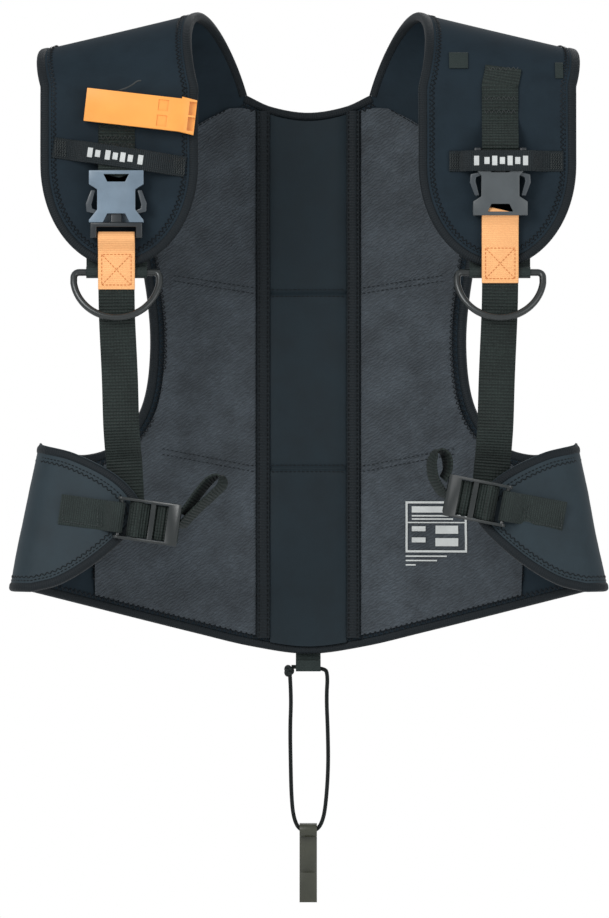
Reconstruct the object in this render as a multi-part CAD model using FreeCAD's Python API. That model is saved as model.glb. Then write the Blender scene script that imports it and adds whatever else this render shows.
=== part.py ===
"""Diver's ballast harness: a neoprene back panel with shoulder pads, waist wings, quick-release buckles,
D-rings, ladder-lock adjusters, a signal whistle and a crotch cord with a belt hook.

Units are millimetres. X is across the body, Y is depth (the chest side is -Y) and Z is up.
The origin is midway between the undersides of the two shoulder crests, where a hanger carries the harness.
"""

import FreeCAD, Part
import math
import os

V = FreeCAD.Vector
Z_AXIS = V(0, 0, 1)
os.makedirs("parts", exist_ok=True)

# --- driving dimensions -------------------------------------------------------------------------
PANEL_RADIUS = 360.0        # plan radius of the back panel's inner face
PANEL_DEPTH = 66.0          # y of that face on the centre line
PANEL_THICK = 5.0           # neoprene sheet
BINDING_WIDTH = 6.0
BINDING_PROUD = 1.0         # binding stands this far off each face of its sheet
LINING_THICK = 1.2
SPINE_HALF = 31.0           # half width of the spine pad
SPINE_THICK = 4.0
TAPE_WIDTH = 11.0           # tapes that cover the spine pad's edges
POCKET_THICK = 3.0
POCKET_ROWS = (-84.0, -216.0, -357.0)   # tops of the three ballast pocket rows
SEAM_Z = -58.0              # yoke seam, and the height at which the shoulder pads hinge
NECK_DROP = 14.0            # neckline's lowest point below the yoke seam
HEM_Z = -506.0
SIDE_END_Z = -454.0         # lower end of the side seams
TAIL_WIDTH = 20.0           # free ends of the main webbing, folded over
TAIL_SECTIONS = 40
PAD_FACE = -60.0            # y of the shoulder pads' inner face
PAD_THICK = 6.0
PAD_CENTRE = 149.0
PAD_HALF = 61.0
PAD_BOTTOM = -198.0
CREST_INNER = 88.0          # x of the crest's neck end
CREST_DROP = 31.0           # crest's fall from the neck end to the outer end
WEB_WIDTH = 29.0            # buckle webbing
WEB_THICK = 1.5
WING_TOP = -338.0
WING_BEND = 22.0            # inner radius of the bend at the side
WING_START = 199.0          # x at which the wing leaves the back panel
WING_SLANT = V(26.0, -17.0, -130.0)
FLAP_RADIUS = 180.0
BUCKLE_WIDTH = 43.0
BUCKLE_THICK = 11.6
BUCKLE_LENGTH = 41.0
BUCKLE_WALL = 2.0
PLUG_LENGTH = 12.0
PLUG_BAR_HALF = 2.2         # half depth of the plug's web bar
LOCK_BAR = 3.4              # diameter of the adjuster's pivot bar
RING_WIRE = 5.5
RING_WIDTH = 73.0
RING_DROP = 38.0            # from the bar to the middle of the bow
RING_BAR = V(0, -63.5, -203.0)
RING_TILT = 20.0
LOCK_LENGTH = 46.0
LOCK_WIDTH = 33.0
LOCK_THICK = 7.0
WING_TAB_WIDTH = 24.0
WHISTLE_LENGTH = 87.0
WHISTLE_HEIGHT = 26.0
WHISTLE_THICK = 9.0
CORD_D = 3.2
HOOK_WIDTH = 14.0
HOOK_GAP = 6.4
FIT = 0.3                   # clearance between pieces that move past each other
GAP = 0.5                   # clearance at the soft hinges
LAYER_GAP = 0.15            # clearance between layers sewn face to face
WING_TAB_THICK = 2.4
CLIP_PLATE = 1.6            # whistle clip's plate

PAD_FRONT = PAD_FACE - PAD_THICK
BUCKLE_Y = PAD_FRONT - WEB_THICK - 0.7 - BUCKLE_THICK / 2

nodes = {}


def keep(name, *shapes):
    """Stores a node's solids under its name."""
    nodes[name] = list(shapes)


def mirrored(shape):
    return shape.mirror(V(0, 0, 0), V(1, 0, 0))


def sided(name, side, *shapes):
    """Stores shapes modelled on the +X side as the right node, or mirrored as the left one."""
    keep(f"{name}_{side}", *[s if side == "right" else mirrored(s) for s in shapes])


def box(x0, x1, y0, y1, z0, z1):
    return Part.makeBox(x1 - x0, y1 - y0, z1 - z0, V(x0, y0, z0))


def xz(points):
    return [V(x, 0, z) for x, z in points]


def edge_through(points):
    """A straight edge for two points, or a smooth one through more."""
    if len(points) == 2:
        return Part.LineSegment(points[0], points[1]).toShape()
    curve = Part.BSplineCurve()
    curve.interpolate(points)
    return curve.toShape()


def face_of(*stretches):
    return Part.Face(Part.Wire([edge_through(s) for s in stretches]))


def polygon_prism(points, direction):
    return Part.Face(Part.makePolygon(list(points) + [points[0]])).extrude(direction)


def y_prism(face, y0, y1):
    return face.translated(V(0, y0, 0)).extrude(V(0, y1 - y0, 0))


def strip_face(points, width):
    """The strip between a smooth edge and its copy set in to the left of travel, in the XZ plane."""
    curve = edge_through(points).Curve
    inner = []
    first, last = curve.FirstParameter, curve.LastParameter
    count = 3 * len(points)
    for i in range(count + 1):
        t = first + (last - first) * i / count
        p, d = curve.value(t), curve.tangent(t)[0]
        inner.append(p + V(-d.z, 0, d.x) * width)
    return face_of(points, [points[-1], inner[-1]], inner[::-1], [inner[0], points[0]])


def panel_y(x):
    """y of the back panel's inner face."""
    return PANEL_DEPTH - PANEL_RADIUS + math.sqrt(PANEL_RADIUS**2 - x**2)


def panel_layer(near, far):
    """A curved slab between two distances behind the back panel's inner face."""
    low, high = HEM_Z - 20, 20
    centre = V(0, PANEL_DEPTH - PANEL_RADIUS, low)
    outer = Part.makeCylinder(PANEL_RADIUS + far, high - low, centre)
    inner = Part.makeCylinder(PANEL_RADIUS + near, high - low, centre)
    front = box(-300, 300, -400, -40, low - 1, high + 1)
    return outer.cut(inner).cut(front)


def ribbon(points, width, thick, across=V(1, 0, 0)):
    """A flat band along a path: ruled between rectangles, one at each point."""
    wires = []
    for i, p in enumerate(points):
        before = points[max(i - 1, 0)]
        after = points[min(i + 1, len(points) - 1)]
        along = (after - before).normalize()
        w = (across - along * across.dot(along)).normalize()
        n = along.cross(w)
        corners = [p + w * (a * width / 2) + n * (b * thick / 2) for a, b in ((-1, -1), (1, -1), (1, 1), (-1, 1))]
        wires.append(Part.makePolygon(corners + [corners[0]]))
    return Part.makeLoft(wires, True, True)


def smooth_path(points, count):
    """Points spaced evenly along a smooth curve through the given ones."""
    curve = Part.BSplineCurve()
    curve.interpolate(points)
    return curve.toShape().discretize(Number=count)


def web_loop(centre, bar_half_y, bar_half_z, lead, width=WEB_WIDTH):
    """Webbing round a bar along X: two layers that run up from the bar by lead."""
    g, t = FIT, WEB_THICK
    outer = box(centre.x - width / 2, centre.x + width / 2, centre.y - bar_half_y - g - t,
                centre.y + bar_half_y + g + t, centre.z - bar_half_z - g - t, centre.z + lead)
    inner = box(centre.x - width, centre.x + width, centre.y - bar_half_y - g,
                centre.y + bar_half_y + g, centre.z - bar_half_z - g, centre.z + lead + 1)
    return outer.cut(inner)


# --- outlines, in the XZ plane, with the interior to the left of travel -------------------------
def right_armhole():
    return xz([(200.4 - 2 * GAP, -345), (176, -347.5), (153, -339), (132, -309), (125, -262), (129, -210),
               (141, -155), (163, -104), (188, SEAM_Z)])


def neckline():
    half = [(50, SEAM_Z), (30, SEAM_Z - 0.66 * NECK_DROP), (0, SEAM_Z - NECK_DROP)]
    return xz(half + [(-x, z) for x, z in half[-2::-1]])


def hemline():
    drop = HEM_Z - SIDE_END_Z
    stops = [(222.2 - 2 * GAP, 0), (177, 0.231), (136, 0.442), (90, 0.673), (45, 0.885), (0, 1)]
    half = [(x, SIDE_END_Z + drop * share) for x, share in stops]
    return xz([(-x, z) for x, z in half[:-1]] + half[::-1])


def flip(points):
    """The mirror image of a stretch, turned so that the interior stays to the left."""
    return [V(-p.x, 0, p.z) for p in reversed(points)]


ARMHOLE = right_armhole()
NECK = neckline()
HEM = hemline()


def panel_outline():
    return face_of(HEM, [HEM[-1], ARMHOLE[0]], ARMHOLE, [ARMHOLE[-1], NECK[0]], NECK,
                   [NECK[-1], flip(ARMHOLE)[0]], flip(ARMHOLE), [flip(ARMHOLE)[-1], HEM[0]])


def build_back():
    """Back panel, its bindings, the lining, the spine pad with its tapes and the ballast pockets."""
    outline = panel_outline()
    strips = {"neck_binding": strip_face(NECK, BINDING_WIDTH), "hem_binding": strip_face(HEM, BINDING_WIDTH),
              "armhole_binding_right": strip_face(ARMHOLE, BINDING_WIDTH),
              "armhole_binding_left": strip_face(flip(ARMHOLE), BINDING_WIDTH)}
    ends = strips["hem_binding"]
    for name in ("armhole_binding_right", "armhole_binding_left"):
        strips[name] = strips[name].cut(ends)
    solid = y_prism(outline, -40, 120)
    cuts = {name: y_prism(face, -41, 121) for name, face in strips.items()}
    panel = solid.common(panel_layer(0, PANEL_THICK))
    for cut in cuts.values():
        panel = panel.cut(cut)
    keep("back_panel", panel)
    rim = solid.common(panel_layer(-BINDING_PROUD, PANEL_THICK + BINDING_PROUD))
    for name, cut in cuts.items():
        keep(name, rim.common(cut))
    inside = solid
    for cut in cuts.values():
        inside = inside.cut(cut)
    spine_edge = SPINE_HALF
    tape_edge = SPINE_HALF + TAPE_WIDTH
    full = (-60, 130, HEM_Z - 10, 10)
    lining = inside.common(panel_layer(-LINING_THICK, -LAYER_GAP))
    keep("spine_pad", inside.common(panel_layer(-SPINE_THICK, -LAYER_GAP)).common(box(-spine_edge, spine_edge, *full)))
    wing_side = 172.0
    yoke_clear = -84.0
    for side, s in (("right", 1), ("left", -1)):
        lo, hi = sorted((s * tape_edge, s * wing_side))
        keep(f"lining_{side}", lining.common(box(lo, hi, -60, 130, HEM_Z - 10, yoke_clear)))
        lo, hi = sorted((s * spine_edge, s * tape_edge))
        tape = inside.common(panel_layer(-SPINE_THICK - 0.6, -LAYER_GAP)).common(box(lo, hi, *full))
        keep(f"spine_tape_{side}", tape)
    rows = list(POCKET_ROWS) + [HEM_Z]
    near = PANEL_THICK + LAYER_GAP
    rear = inside.common(panel_layer(near, PANEL_THICK + POCKET_THICK))
    mouth = 8.0
    trims = []
    trim_layer = inside.common(panel_layer(near, PANEL_THICK + POCKET_THICK + BINDING_PROUD))
    for i, name in enumerate(("upper", "middle", "lower")):
        half = (105.0, 105.0, 150.0)[i]
        top = rows[i]
        keep(f"ballast_pocket_{name}", rear.common(box(-half, half, -60, 130, rows[i + 1], top - mouth)))
        trims.append(trim_layer.common(box(-half, half, -60, 130, top - mouth, top)))
    keep("pocket_mouth_trim", *trims)


def crest_profile(back, top, front, near, far):
    """A band between two arcs concentric with the one through three points."""
    arc = Part.Arc(back, top, front).toShape()
    centre, radius = arc.Curve.Center, arc.Curve.Radius
    inner = [centre + (p - centre) * ((radius + near) / radius) for p in (back, top, front)]
    outer = [centre + (p - centre) * ((radius + far) / radius) for p in (back, top, front)]
    edges = [Part.Arc(*inner).toShape(), Part.LineSegment(inner[2], outer[2]).toShape(),
             Part.Arc(outer[2], outer[1], outer[0]).toShape(), Part.LineSegment(outer[0], inner[0]).toShape()]
    return Part.Wire(edges)


def crest_layer(near, far):
    """The shoulder crest's sheet between two distances above its inner face."""
    sections = []
    steps = 4
    crest_outer = PAD_CENTRE + PAD_HALF
    for i in range(steps + 1):
        u = i / steps
        x_top = CREST_INNER + (crest_outer - CREST_INNER) * u
        x_back = 50 + (188 - 50) * u
        y_back = panel_y(x_back)
        back = V(x_back, y_back, SEAM_Z + GAP)
        front = V(x_top, PAD_FACE, SEAM_Z + GAP)
        top = V(x_top - 2 * (1 - u), (y_back + PAD_FACE) / 2, -CREST_DROP * u)
        sections.append(crest_profile(back, top, front, near, far))
    return Part.makeLoft(sections, True, False)


def build_yokes():
    """The neoprene over each shoulder, with the anchor webbing's sewn tops and the right side's hose loops."""
    yoke = crest_layer(0, PANEL_THICK)
    for side in ("right", "left"):
        sided("shoulder_yoke", side, yoke)
    front = -45.0
    half = WEB_WIDTH / 2
    layer = crest_layer(PANEL_THICK + LAYER_GAP, PANEL_THICK + WEB_THICK)
    right = layer.common(box(BUCKLE_AT["right"].x - half, BUCKLE_AT["right"].x + half, -90, front, -57, -46))
    at = -BUCKLE_AT["left"].x
    left = mirrored(layer.common(box(at - half, at + half, -90, front, -57, -46)))
    keep("anchor_tops", right, left)
    layer = crest_layer(PANEL_THICK + LAYER_GAP, PANEL_THICK + 2.4)
    keep("hose_loops", layer.common(box(111, 126, -90, front, -42, -29)),
         layer.common(box(194.6, 201, -90, front, -50, -37)))


def pad_outline():
    c, h = PAD_CENTRE, PAD_HALF
    round_start = -118.0
    drop = PAD_BOTTOM - round_start
    side = [(c - h, SEAM_Z - GAP), (c - h, round_start)]
    bowl = [(c + h * math.sin(a), round_start + drop * math.cos(a)) for a in
            [math.radians(d) for d in (-64, -38, -12, 12, 38, 64)]]
    return xz(side + bowl + [(c + h, round_start), (c + h, SEAM_Z - GAP)])


def build_pads():
    """Shoulder pads with their binding, the anchor webbing sewn on them and the D-ring's loop."""
    edge = pad_outline()
    outline = face_of(edge, [edge[-1], edge[0]])
    strip = strip_face(edge, BINDING_WIDTH)
    pad = y_prism(outline, PAD_FRONT, PAD_FACE).cut(y_prism(strip, PAD_FRONT - 2, PAD_FACE + 2))
    binding = y_prism(strip.common(outline), PAD_FRONT - BINDING_PROUD, PAD_FACE + BINDING_PROUD)
    x = PAD_CENTRE + 2
    for side in ("right", "left"):
        sided("shoulder_pad", side, pad)
        sided("pad_binding", side, binding)
        half = RING_WIRE / 2 + FIT
        loop_half = 24.0
        bar = V(x, RING_BAR.y, RING_BAR.z)
        sleeve = Part.makeCylinder(half + WEB_THICK, 2 * loop_half, V(x - loop_half, bar.y, bar.z), V(1, 0, 0))
        top = PAD_BOTTOM - 0.1 + 8
        lug = box(x - loop_half, x + loop_half, PAD_FACE + BINDING_PROUD, PAD_FACE + BINDING_PROUD + 2 * WEB_THICK,
                  bar.z, top)
        bridge = box(x - loop_half, x + loop_half, bar.y, PAD_FACE + BINDING_PROUD + 2 * WEB_THICK, bar.z - 0.5,
                     bar.z + half + WEB_THICK - 1)
        bore = Part.makeCylinder(half, 4 * loop_half, V(x - 2 * loop_half, bar.y, bar.z), V(1, 0, 0))
        body = sleeve.fuse(lug).fuse(bridge).cut(bore)
        clear = y_prism(strip.fuse(outline), PAD_FRONT - BINDING_PROUD, PAD_FACE + BINDING_PROUD)
        sided("ring_loop", side, body.cut(clear))


def ring_path():
    """Half width, depth and tilt of the D-ring's bow."""
    half = RING_WIDTH / 2 - RING_WIRE / 2
    return half, RING_DROP


def build_rings():
    """D-rings: a straight bar closed by a half-oval bow, tilted forward over the webbing."""
    half, drop = ring_path()
    shoulder = 9.0
    x = PAD_CENTRE + 2
    a, b = V(-half, 0, 0), V(half, 0, 0)
    c, d = V(half, 0, -shoulder), V(-half, 0, -shoulder)
    bow = Part.Arc(c, V(0, 0, -drop), d).toShape()
    wire = RING_WIRE / 2
    solids = Part.makeCylinder(wire, 2 * half, a, V(1, 0, 0))
    for p in (a, b):
        solids = solids.fuse(Part.makeSphere(wire, p))
        solids = solids.fuse(Part.makeCylinder(wire, shoulder, p, V(0, 0, -1)))
    section = Part.Wire(Part.Circle(c, V(0, 0, 1), wire).toShape())
    solids = solids.fuse(Part.Wire(bow).makePipeShell([section], True, True))
    solids = solids.fuse(Part.makeSphere(wire, c)).fuse(Part.makeSphere(wire, d))
    solids.rotate(V(0, 0, 0), V(1, 0, 0), -RING_TILT)
    solids.translate(V(x, RING_BAR.y, RING_BAR.z))
    for side in ("right", "left"):
        sided("d_ring", side, solids)


# --- side-release buckles, in a local frame with the socket above the plug ----------------------
def socket_shape():
    """Socket: X-shaped faces, side windows for the prongs, and an inner bar for its webbing."""
    w, t, h = BUCKLE_WIDTH / 2, BUCKLE_THICK / 2, BUCKLE_LENGTH / 2
    waist = w - 6.5
    outline = [(-w, h), (w, h), (w, h - 11), (waist, h - 15), (waist, -h + 10), (w, -h + 2), (w, -h),
               (-w, -h), (-w, -h + 2), (-waist, -h + 10), (-waist, h - 15), (-w, h - 11)]
    plate = polygon_prism([V(x, -t, z) for x, z in outline], V(0, 2 * t, 0))
    cavity_half = w - BUCKLE_WALL - 1.5
    cavity = box(-cavity_half, cavity_half, -t + BUCKLE_WALL, t - BUCKLE_WALL, -h - 1, h - 12)
    bay = box(-w + BUCKLE_WALL, w - BUCKLE_WALL, -t + BUCKLE_WALL, t + 1, h - 10, h + 1)
    notch = polygon_prism([V(-10, -t - 1, h - 3), V(10, -t - 1, h - 3), V(7, -t - 1, h - 9), V(-7, -t - 1, h - 9)],
                          V(0, BUCKLE_WALL + 2, 0))
    arch = polygon_prism([V(-11, -t - 1, -h - 1), V(11, -t - 1, -h - 1), V(7, -t - 1, -h + 7), V(-7, -t - 1, -h + 7)],
                         V(0, BUCKLE_WALL + 2, 0))
    bar = box(-w + BUCKLE_WALL - 0.1, w - BUCKLE_WALL + 0.1, -1.6, 2.0, h - 6, h - 2.5)
    return plate.cut(cavity).cut(bay).cut(notch).cut(arch).fuse(bar).removeSplitter()


def plug_shape():
    """Plug base with its centre tongue and web bar."""
    w, t, h = BUCKLE_WIDTH / 2 - 1, BUCKLE_THICK / 2 - 0.3, BUCKLE_LENGTH / 2
    top = -h - FIT
    base = box(-w, w, -t, t, top - PLUG_LENGTH, top)
    slot = box(-WEB_WIDTH / 2 - 1, WEB_WIDTH / 2 + 1, -t - 1, t + 1, top - PLUG_LENGTH + 3.5, top - 3.2)
    for y0, y1 in ((-t - 1, -PLUG_BAR_HALF), (PLUG_BAR_HALF, t + 1)):
        slot = slot.fuse(box(-WEB_WIDTH / 2 - 1, WEB_WIDTH / 2 + 1, y0, y1, top - PLUG_LENGTH - 1, top - 3.2))
    tongue_half = 4.5
    tongue = box(-tongue_half, tongue_half, -t + BUCKLE_WALL + 0.3, t - BUCKLE_WALL - 0.3, top - 0.5, h - 14)
    return base.cut(slot).fuse(tongue).removeSplitter()


def prong_shape(sign):
    """A flexing arm with the barb that stands out of the socket's window."""
    t, h = BUCKLE_THICK / 2 - BUCKLE_WALL - 0.5, BUCKLE_LENGTH / 2
    top = -h - FIT + 0.35
    points = [(11.0, top), (14.5, top), (15.0, -h + 6.5), (23.5, -h + 8.5), (24.0, -h + 15), (20, h - 15.5),
              (16.5, h - 15.5), (19.5, -h + 14), (19.0, -h + 11), (13.5, -h + 9)]
    return polygon_prism([V(sign * x, -t, z) for x, z in points], V(0, 2 * t, 0))


def build_buckle(side, centre, socket_up):
    """Places a buckle with its two webbing ends and stores its nodes."""
    def place(shape):
        shape = shape.copy()
        if not socket_up:
            shape.rotate(V(0, 0, 0), V(0, 1, 0), 180)
        shape.translate(centre)
        return shape

    keep(f"buckle_socket_{side}", place(socket_shape()))
    keep(f"buckle_plug_{side}", place(plug_shape()))
    keep(f"buckle_prong_outer_{side}", place(prong_shape(1 if (side == "right") == socket_up else -1)))
    keep(f"buckle_prong_inner_{side}", place(prong_shape(-1 if (side == "right") == socket_up else 1)))
    up = 1 if socket_up else -1
    h = BUCKLE_LENGTH / 2
    socket_bar = centre + V(0, 0.2, up * (h - 4.25))
    plug_bar = centre + V(0, 0, -up * (h + FIT + PLUG_LENGTH - 1.75))
    upper_bar, lower_bar = (socket_bar, plug_bar) if socket_up else (plug_bar, socket_bar)
    socket_half_y, plug_half_y = 1.8, PLUG_BAR_HALF
    upper_half = socket_half_y if socket_up else plug_half_y
    lower_half = plug_half_y if socket_up else socket_half_y
    return upper_bar, upper_half, lower_bar, lower_half


def build_shoulder_webbing(side, upper_bar, upper_half, lower_bar, lower_half):
    """Anchor webbing above the buckle and the doubled grab tab below it."""
    half = WEB_WIDTH / 2
    x = upper_bar.x
    t = WEB_THICK
    lead = 9.0
    loop = web_loop(upper_bar, upper_half, 1.75, lead)
    join_z = upper_bar.z + lead
    front = box(x - half, x + half, PAD_FRONT - t, PAD_FRONT, join_z + 14, SEAM_Z - GAP)
    loop_front = upper_bar.y - upper_half - FIT
    loop_back = upper_bar.y + upper_half + FIT + t
    gather = polygon_prism([V(x - half, loop_front - t, join_z), V(x - half, loop_back, join_z),
                            V(x - half, PAD_FRONT, join_z + 14), V(x - half, PAD_FRONT - t, join_z + 14)],
                           V(WEB_WIDTH, 0, 0))
    keep(f"anchor_webbing_{side}", loop.fuse(front).fuse(gather).removeSplitter())
    tab_loop = web_loop(V(lower_bar.x, lower_bar.y, -lower_bar.z), lower_half, 1.75, 3.0)
    tab_loop = tab_loop.mirror(V(0, 0, 0), Z_AXIS)
    start = lower_bar.z - 3.0
    end = TAB_END[side]
    y0, y1 = lower_bar.y - lower_half - FIT - t, lower_bar.y + lower_half + FIT + t
    x = lower_bar.x
    neck = start - 8.0
    taper = polygon_prism([V(x - half, y0, start), V(x - half, y1, start), V(x - half, TAB_FRONT + 2 * t, neck),
                           V(x - half, TAB_FRONT, neck)], V(WEB_WIDTH, 0, 0))
    flat = box(x - half, x + half, TAB_FRONT, TAB_FRONT + 2 * t, end, neck)
    keep(f"grab_tab_{side}", tab_loop.fuse(taper).fuse(flat).removeSplitter())


TAB_FRONT = -71.6
TAB_END = {"left": -216.5, "right": -211.5}
BUCKLE_AT = {"left": V(-151, BUCKLE_Y, -143.5), "right": V(151, BUCKLE_Y, -138.0)}
BAND_AT = {"left": -109.0, "right": -116.0}
BAND_TILT = {"left": -6.5, "right": 0.0}
BAND_RISE = {"left": -78.0, "right": -80.4}


def build_keeper_band(side):
    """Elastic band across the pad, sewn down at both ends and standing over the webbing."""
    half_span = 52.0
    rise = BAND_RISE[side]
    height = 15.0
    z = BAND_AT[side]
    x = PAD_CENTRE - 1
    t = WEB_THICK
    inner = [(x - half_span, PAD_FRONT), (x - half_span + 12, PAD_FRONT), (x - 23, rise), (x + 27, rise),
             (x + half_span - 12, PAD_FRONT), (x + half_span, PAD_FRONT)]
    outer = [(px, py - t) for px, py in reversed(inner)]
    band = polygon_prism([V(px, py, z - height / 2) for px, py in inner + outer], V(0, 0, height))
    band.rotate(V(x, 0, z), V(0, 1, 0), BAND_TILT[side])
    sided("keeper_band", side, band)


# --- waist ---------------------------------------------------------------------------------------
def wing_plan(offset):
    """Plan points of the wing's sheet, offset outwards from its inner face: start, bend, flap and tip."""
    slope = math.asin(WING_START / PANEL_RADIUS)
    start = V(WING_START, panel_y(WING_START), 0)
    inward = V(-math.sin(slope), -math.cos(slope), 0)
    centre = start + inward * WING_BEND
    first = math.pi / 2 - slope
    swept = math.radians(125)
    flap = math.radians(26)

    def ray(c, r, angle):
        return c + V(math.cos(angle), math.sin(angle), 0) * r

    r = WING_BEND + offset
    bend_end = ray(centre, WING_BEND, first - swept)
    far = bend_end - V(math.cos(first - swept), math.sin(first - swept), 0) * FLAP_RADIUS
    r2 = FLAP_RADIUS + offset
    return [ray(centre, r, first), ray(centre, r, first - swept / 2), ray(centre, r, first - swept),
            ray(far, r2, first - swept - flap / 2), ray(far, r2, first - swept - flap)]


def wing_sheet(near, far, shift=0.0):
    """The wing's bent sheet between two offsets, drawn out along the slanted side seam."""
    a, b = wing_plan(near), wing_plan(far)
    edges = [Part.Arc(a[0], a[1], a[2]).toShape(), Part.Arc(a[2], a[3], a[4]).toShape(),
             Part.LineSegment(a[4], b[4]).toShape(), Part.Arc(b[4], b[3], b[2]).toShape(),
             Part.Arc(b[2], b[1], b[0]).toShape(), Part.LineSegment(b[0], a[0]).toShape()]
    face = Part.Face(Part.Wire(edges))
    up = 12.0
    lift = WING_SLANT * (-up / WING_SLANT.z)
    face.translate(V(0, 0, WING_TOP) - lift * -1 - V(0, 0, 0))
    return face.extrude(WING_SLANT * ((130.0 + up + 10) / 130.0))


def flap_edge():
    return xz([(216, -340), (200, -342), (185, -346), (163, -356), (148, -366), (137, -378), (131, -391),
               (137, -402), (150, -416), (172, -434), (197, -448.5), (218, -454), (240, -454)])


def wing_point(offset, z, share=1.0):
    """A point on the flap at height z, share of the way along its arc."""
    plan = wing_plan(offset)
    arc = Part.Arc(plan[2], plan[3], plan[4]).toShape()
    p = arc.valueAt(arc.FirstParameter + (arc.LastParameter - arc.FirstParameter) * share)
    slide = (WING_TOP - z) / -WING_SLANT.z
    return V(p.x + WING_SLANT.x * slide, p.y + WING_SLANT.y * slide, z)


LOCK_AT = {"right": V(134.0, -64.0, -383.0), "left": V(127.5, -65.0, -399.0)}
LOCK_TURN = {"right": 11.0, "left": -8.0}
TAB_SPAN = {"right": (162.0, 200.0), "left": (155.0, 194.0)}


def wing_face_y(x, z, offset):
    """y of the flap's face at a distance outside its inner face."""
    plan = wing_plan(0)
    arc = Part.Arc(plan[2], plan[3], plan[4]).toShape()
    slide = (WING_TOP - z) / -WING_SLANT.z
    centre = arc.Curve.Center + V(WING_SLANT.x, WING_SLANT.y, 0) * slide
    return centre.y - math.sqrt((arc.Curve.Radius + offset)**2 - (x - centre.x)**2)


def build_wings():
    """Waist wings that fold forward, with their binding and the tab that carries the adjuster."""
    edge = flap_edge()
    far = 260.0
    outline = face_of(edge, [edge[-1], V(far, 0, edge[-1].z)], [V(far, 0, edge[-1].z), V(far, 0, edge[0].z)],
                      [V(far, 0, edge[0].z), edge[0]])
    strip = strip_face(edge, BINDING_WIDTH)
    limits = y_prism(outline, -120, 60)
    rim = y_prism(strip, -121, 61).fuse(box(214, far, -121, 61, edge[0].z - BINDING_WIDTH, edge[0].z))
    rim = rim.fuse(box(238, far, -121, 61, edge[-1].z, edge[-1].z + BINDING_WIDTH))
    sheet = wing_sheet(0, PANEL_THICK).common(limits)
    wing = sheet.cut(rim)
    thick = wing_sheet(-BINDING_PROUD, PANEL_THICK + BINDING_PROUD).common(limits).common(rim)
    for side in ("right", "left"):
        sided("waist_wing", side, wing)
        sided("wing_binding", side, thick)


def lock_shape():
    """Ladder-lock adjuster: two rails joined by a round pivot bar and flat web bars, with a raised lift lip."""
    l, w, t = LOCK_LENGTH / 2, LOCK_WIDTH / 2, LOCK_THICK / 2
    inside = w - 2.2
    rail_start = -l + LOCK_BAR / 2
    frame = box(rail_start, l, -t, t, -w, -inside).fuse(box(rail_start, l, -t, t, inside, w))
    pivot = Part.makeCylinder(LOCK_BAR / 2, 2 * w, V(rail_start, 0, -w), Z_AXIS)
    for z0 in (-w, inside):
        frame = frame.fuse(Part.makeCylinder(t, w - inside, V(rail_start, 0, z0), Z_AXIS))
    frame = frame.fuse(pivot)
    for x0, x1 in ((-l + 13, -l + 17), (-l + 25, -l + 29), (l - 7, l)):
        frame = frame.fuse(box(x0, x1, -1.6, 1.6, -w, w))
    lip = polygon_prism([V(l - 7, -t, -w), V(l, -t, -w), V(l + 3, -t - 4, -w), V(l, -t - 4, -w)], V(0, 0, 2 * w))
    frame = frame.fuse(box(l - 7, l, -t, 0, -w, w))
    return frame.fuse(lip).removeSplitter()


def build_adjusters():
    """Ladder locks and the tabs that tie them to the wings."""
    for side in ("right", "left"):
        at, turn = LOCK_AT[side], LOCK_TURN[side]

        def place(shape):
            shape.rotate(V(0, 0, 0), V(0, 1, 0), turn)
            shape.translate(at)
            return shape

        lock = lock_shape().mirror(V(0, 0, 0), V(1, 0, 0))
        sided("ladder_lock", side, place(lock))
        l, t, g = LOCK_LENGTH / 2, LOCK_THICK / 2, FIT
        tab_t = WING_TAB_THICK / 2
        half = WING_TAB_WIDTH / 2
        bar = LOCK_BAR / 2
        pivot_x = l - bar
        bar0, bar1 = pivot_x - bar - g, l + 2.2
        loop = box(bar0 - tab_t, bar1 + 3, -bar - g - tab_t, bar + g + tab_t, -half, half)
        loop = loop.cut(box(bar0, bar1 + 4, -bar - g, bar + g, -half - 1, half + 1))
        start, end = TAB_SPAN[side]
        mid_x = (start + end) / 2
        drop = math.tan(math.radians(turn))
        mid_z = at.z - (mid_x - at.x) * drop
        patch = box((start - end) / 2, (end - start) / 2, -120, 0, -half, half)
        patch.rotate(V(0, 0, 0), V(0, 1, 0), turn)
        patch.translate(V(mid_x, 0, mid_z))
        patch = patch.common(wing_sheet(PANEL_THICK + LAYER_GAP, PANEL_THICK + WING_TAB_THICK))
        near_x = start + 1.0 - at.x
        face_y = wing_face_y(start + 1.0, at.z - near_x * drop, PANEL_THICK + LAYER_GAP) - at.y
        front, rear = -bar - g - tab_t, bar + g + tab_t
        gather = polygon_prism([V(bar1 + 3, front, -half), V(near_x, face_y - WING_TAB_THICK, -half),
                                V(near_x, face_y, -half), V(bar1 + 3, rear, -half)], V(0, 0, 2 * half))
        tab = place(loop.fuse(gather)).fuse(patch)
        sided("wing_tab", side, tab.cut(wing_sheet(-0.1, PANEL_THICK + LAYER_GAP)))


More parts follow.
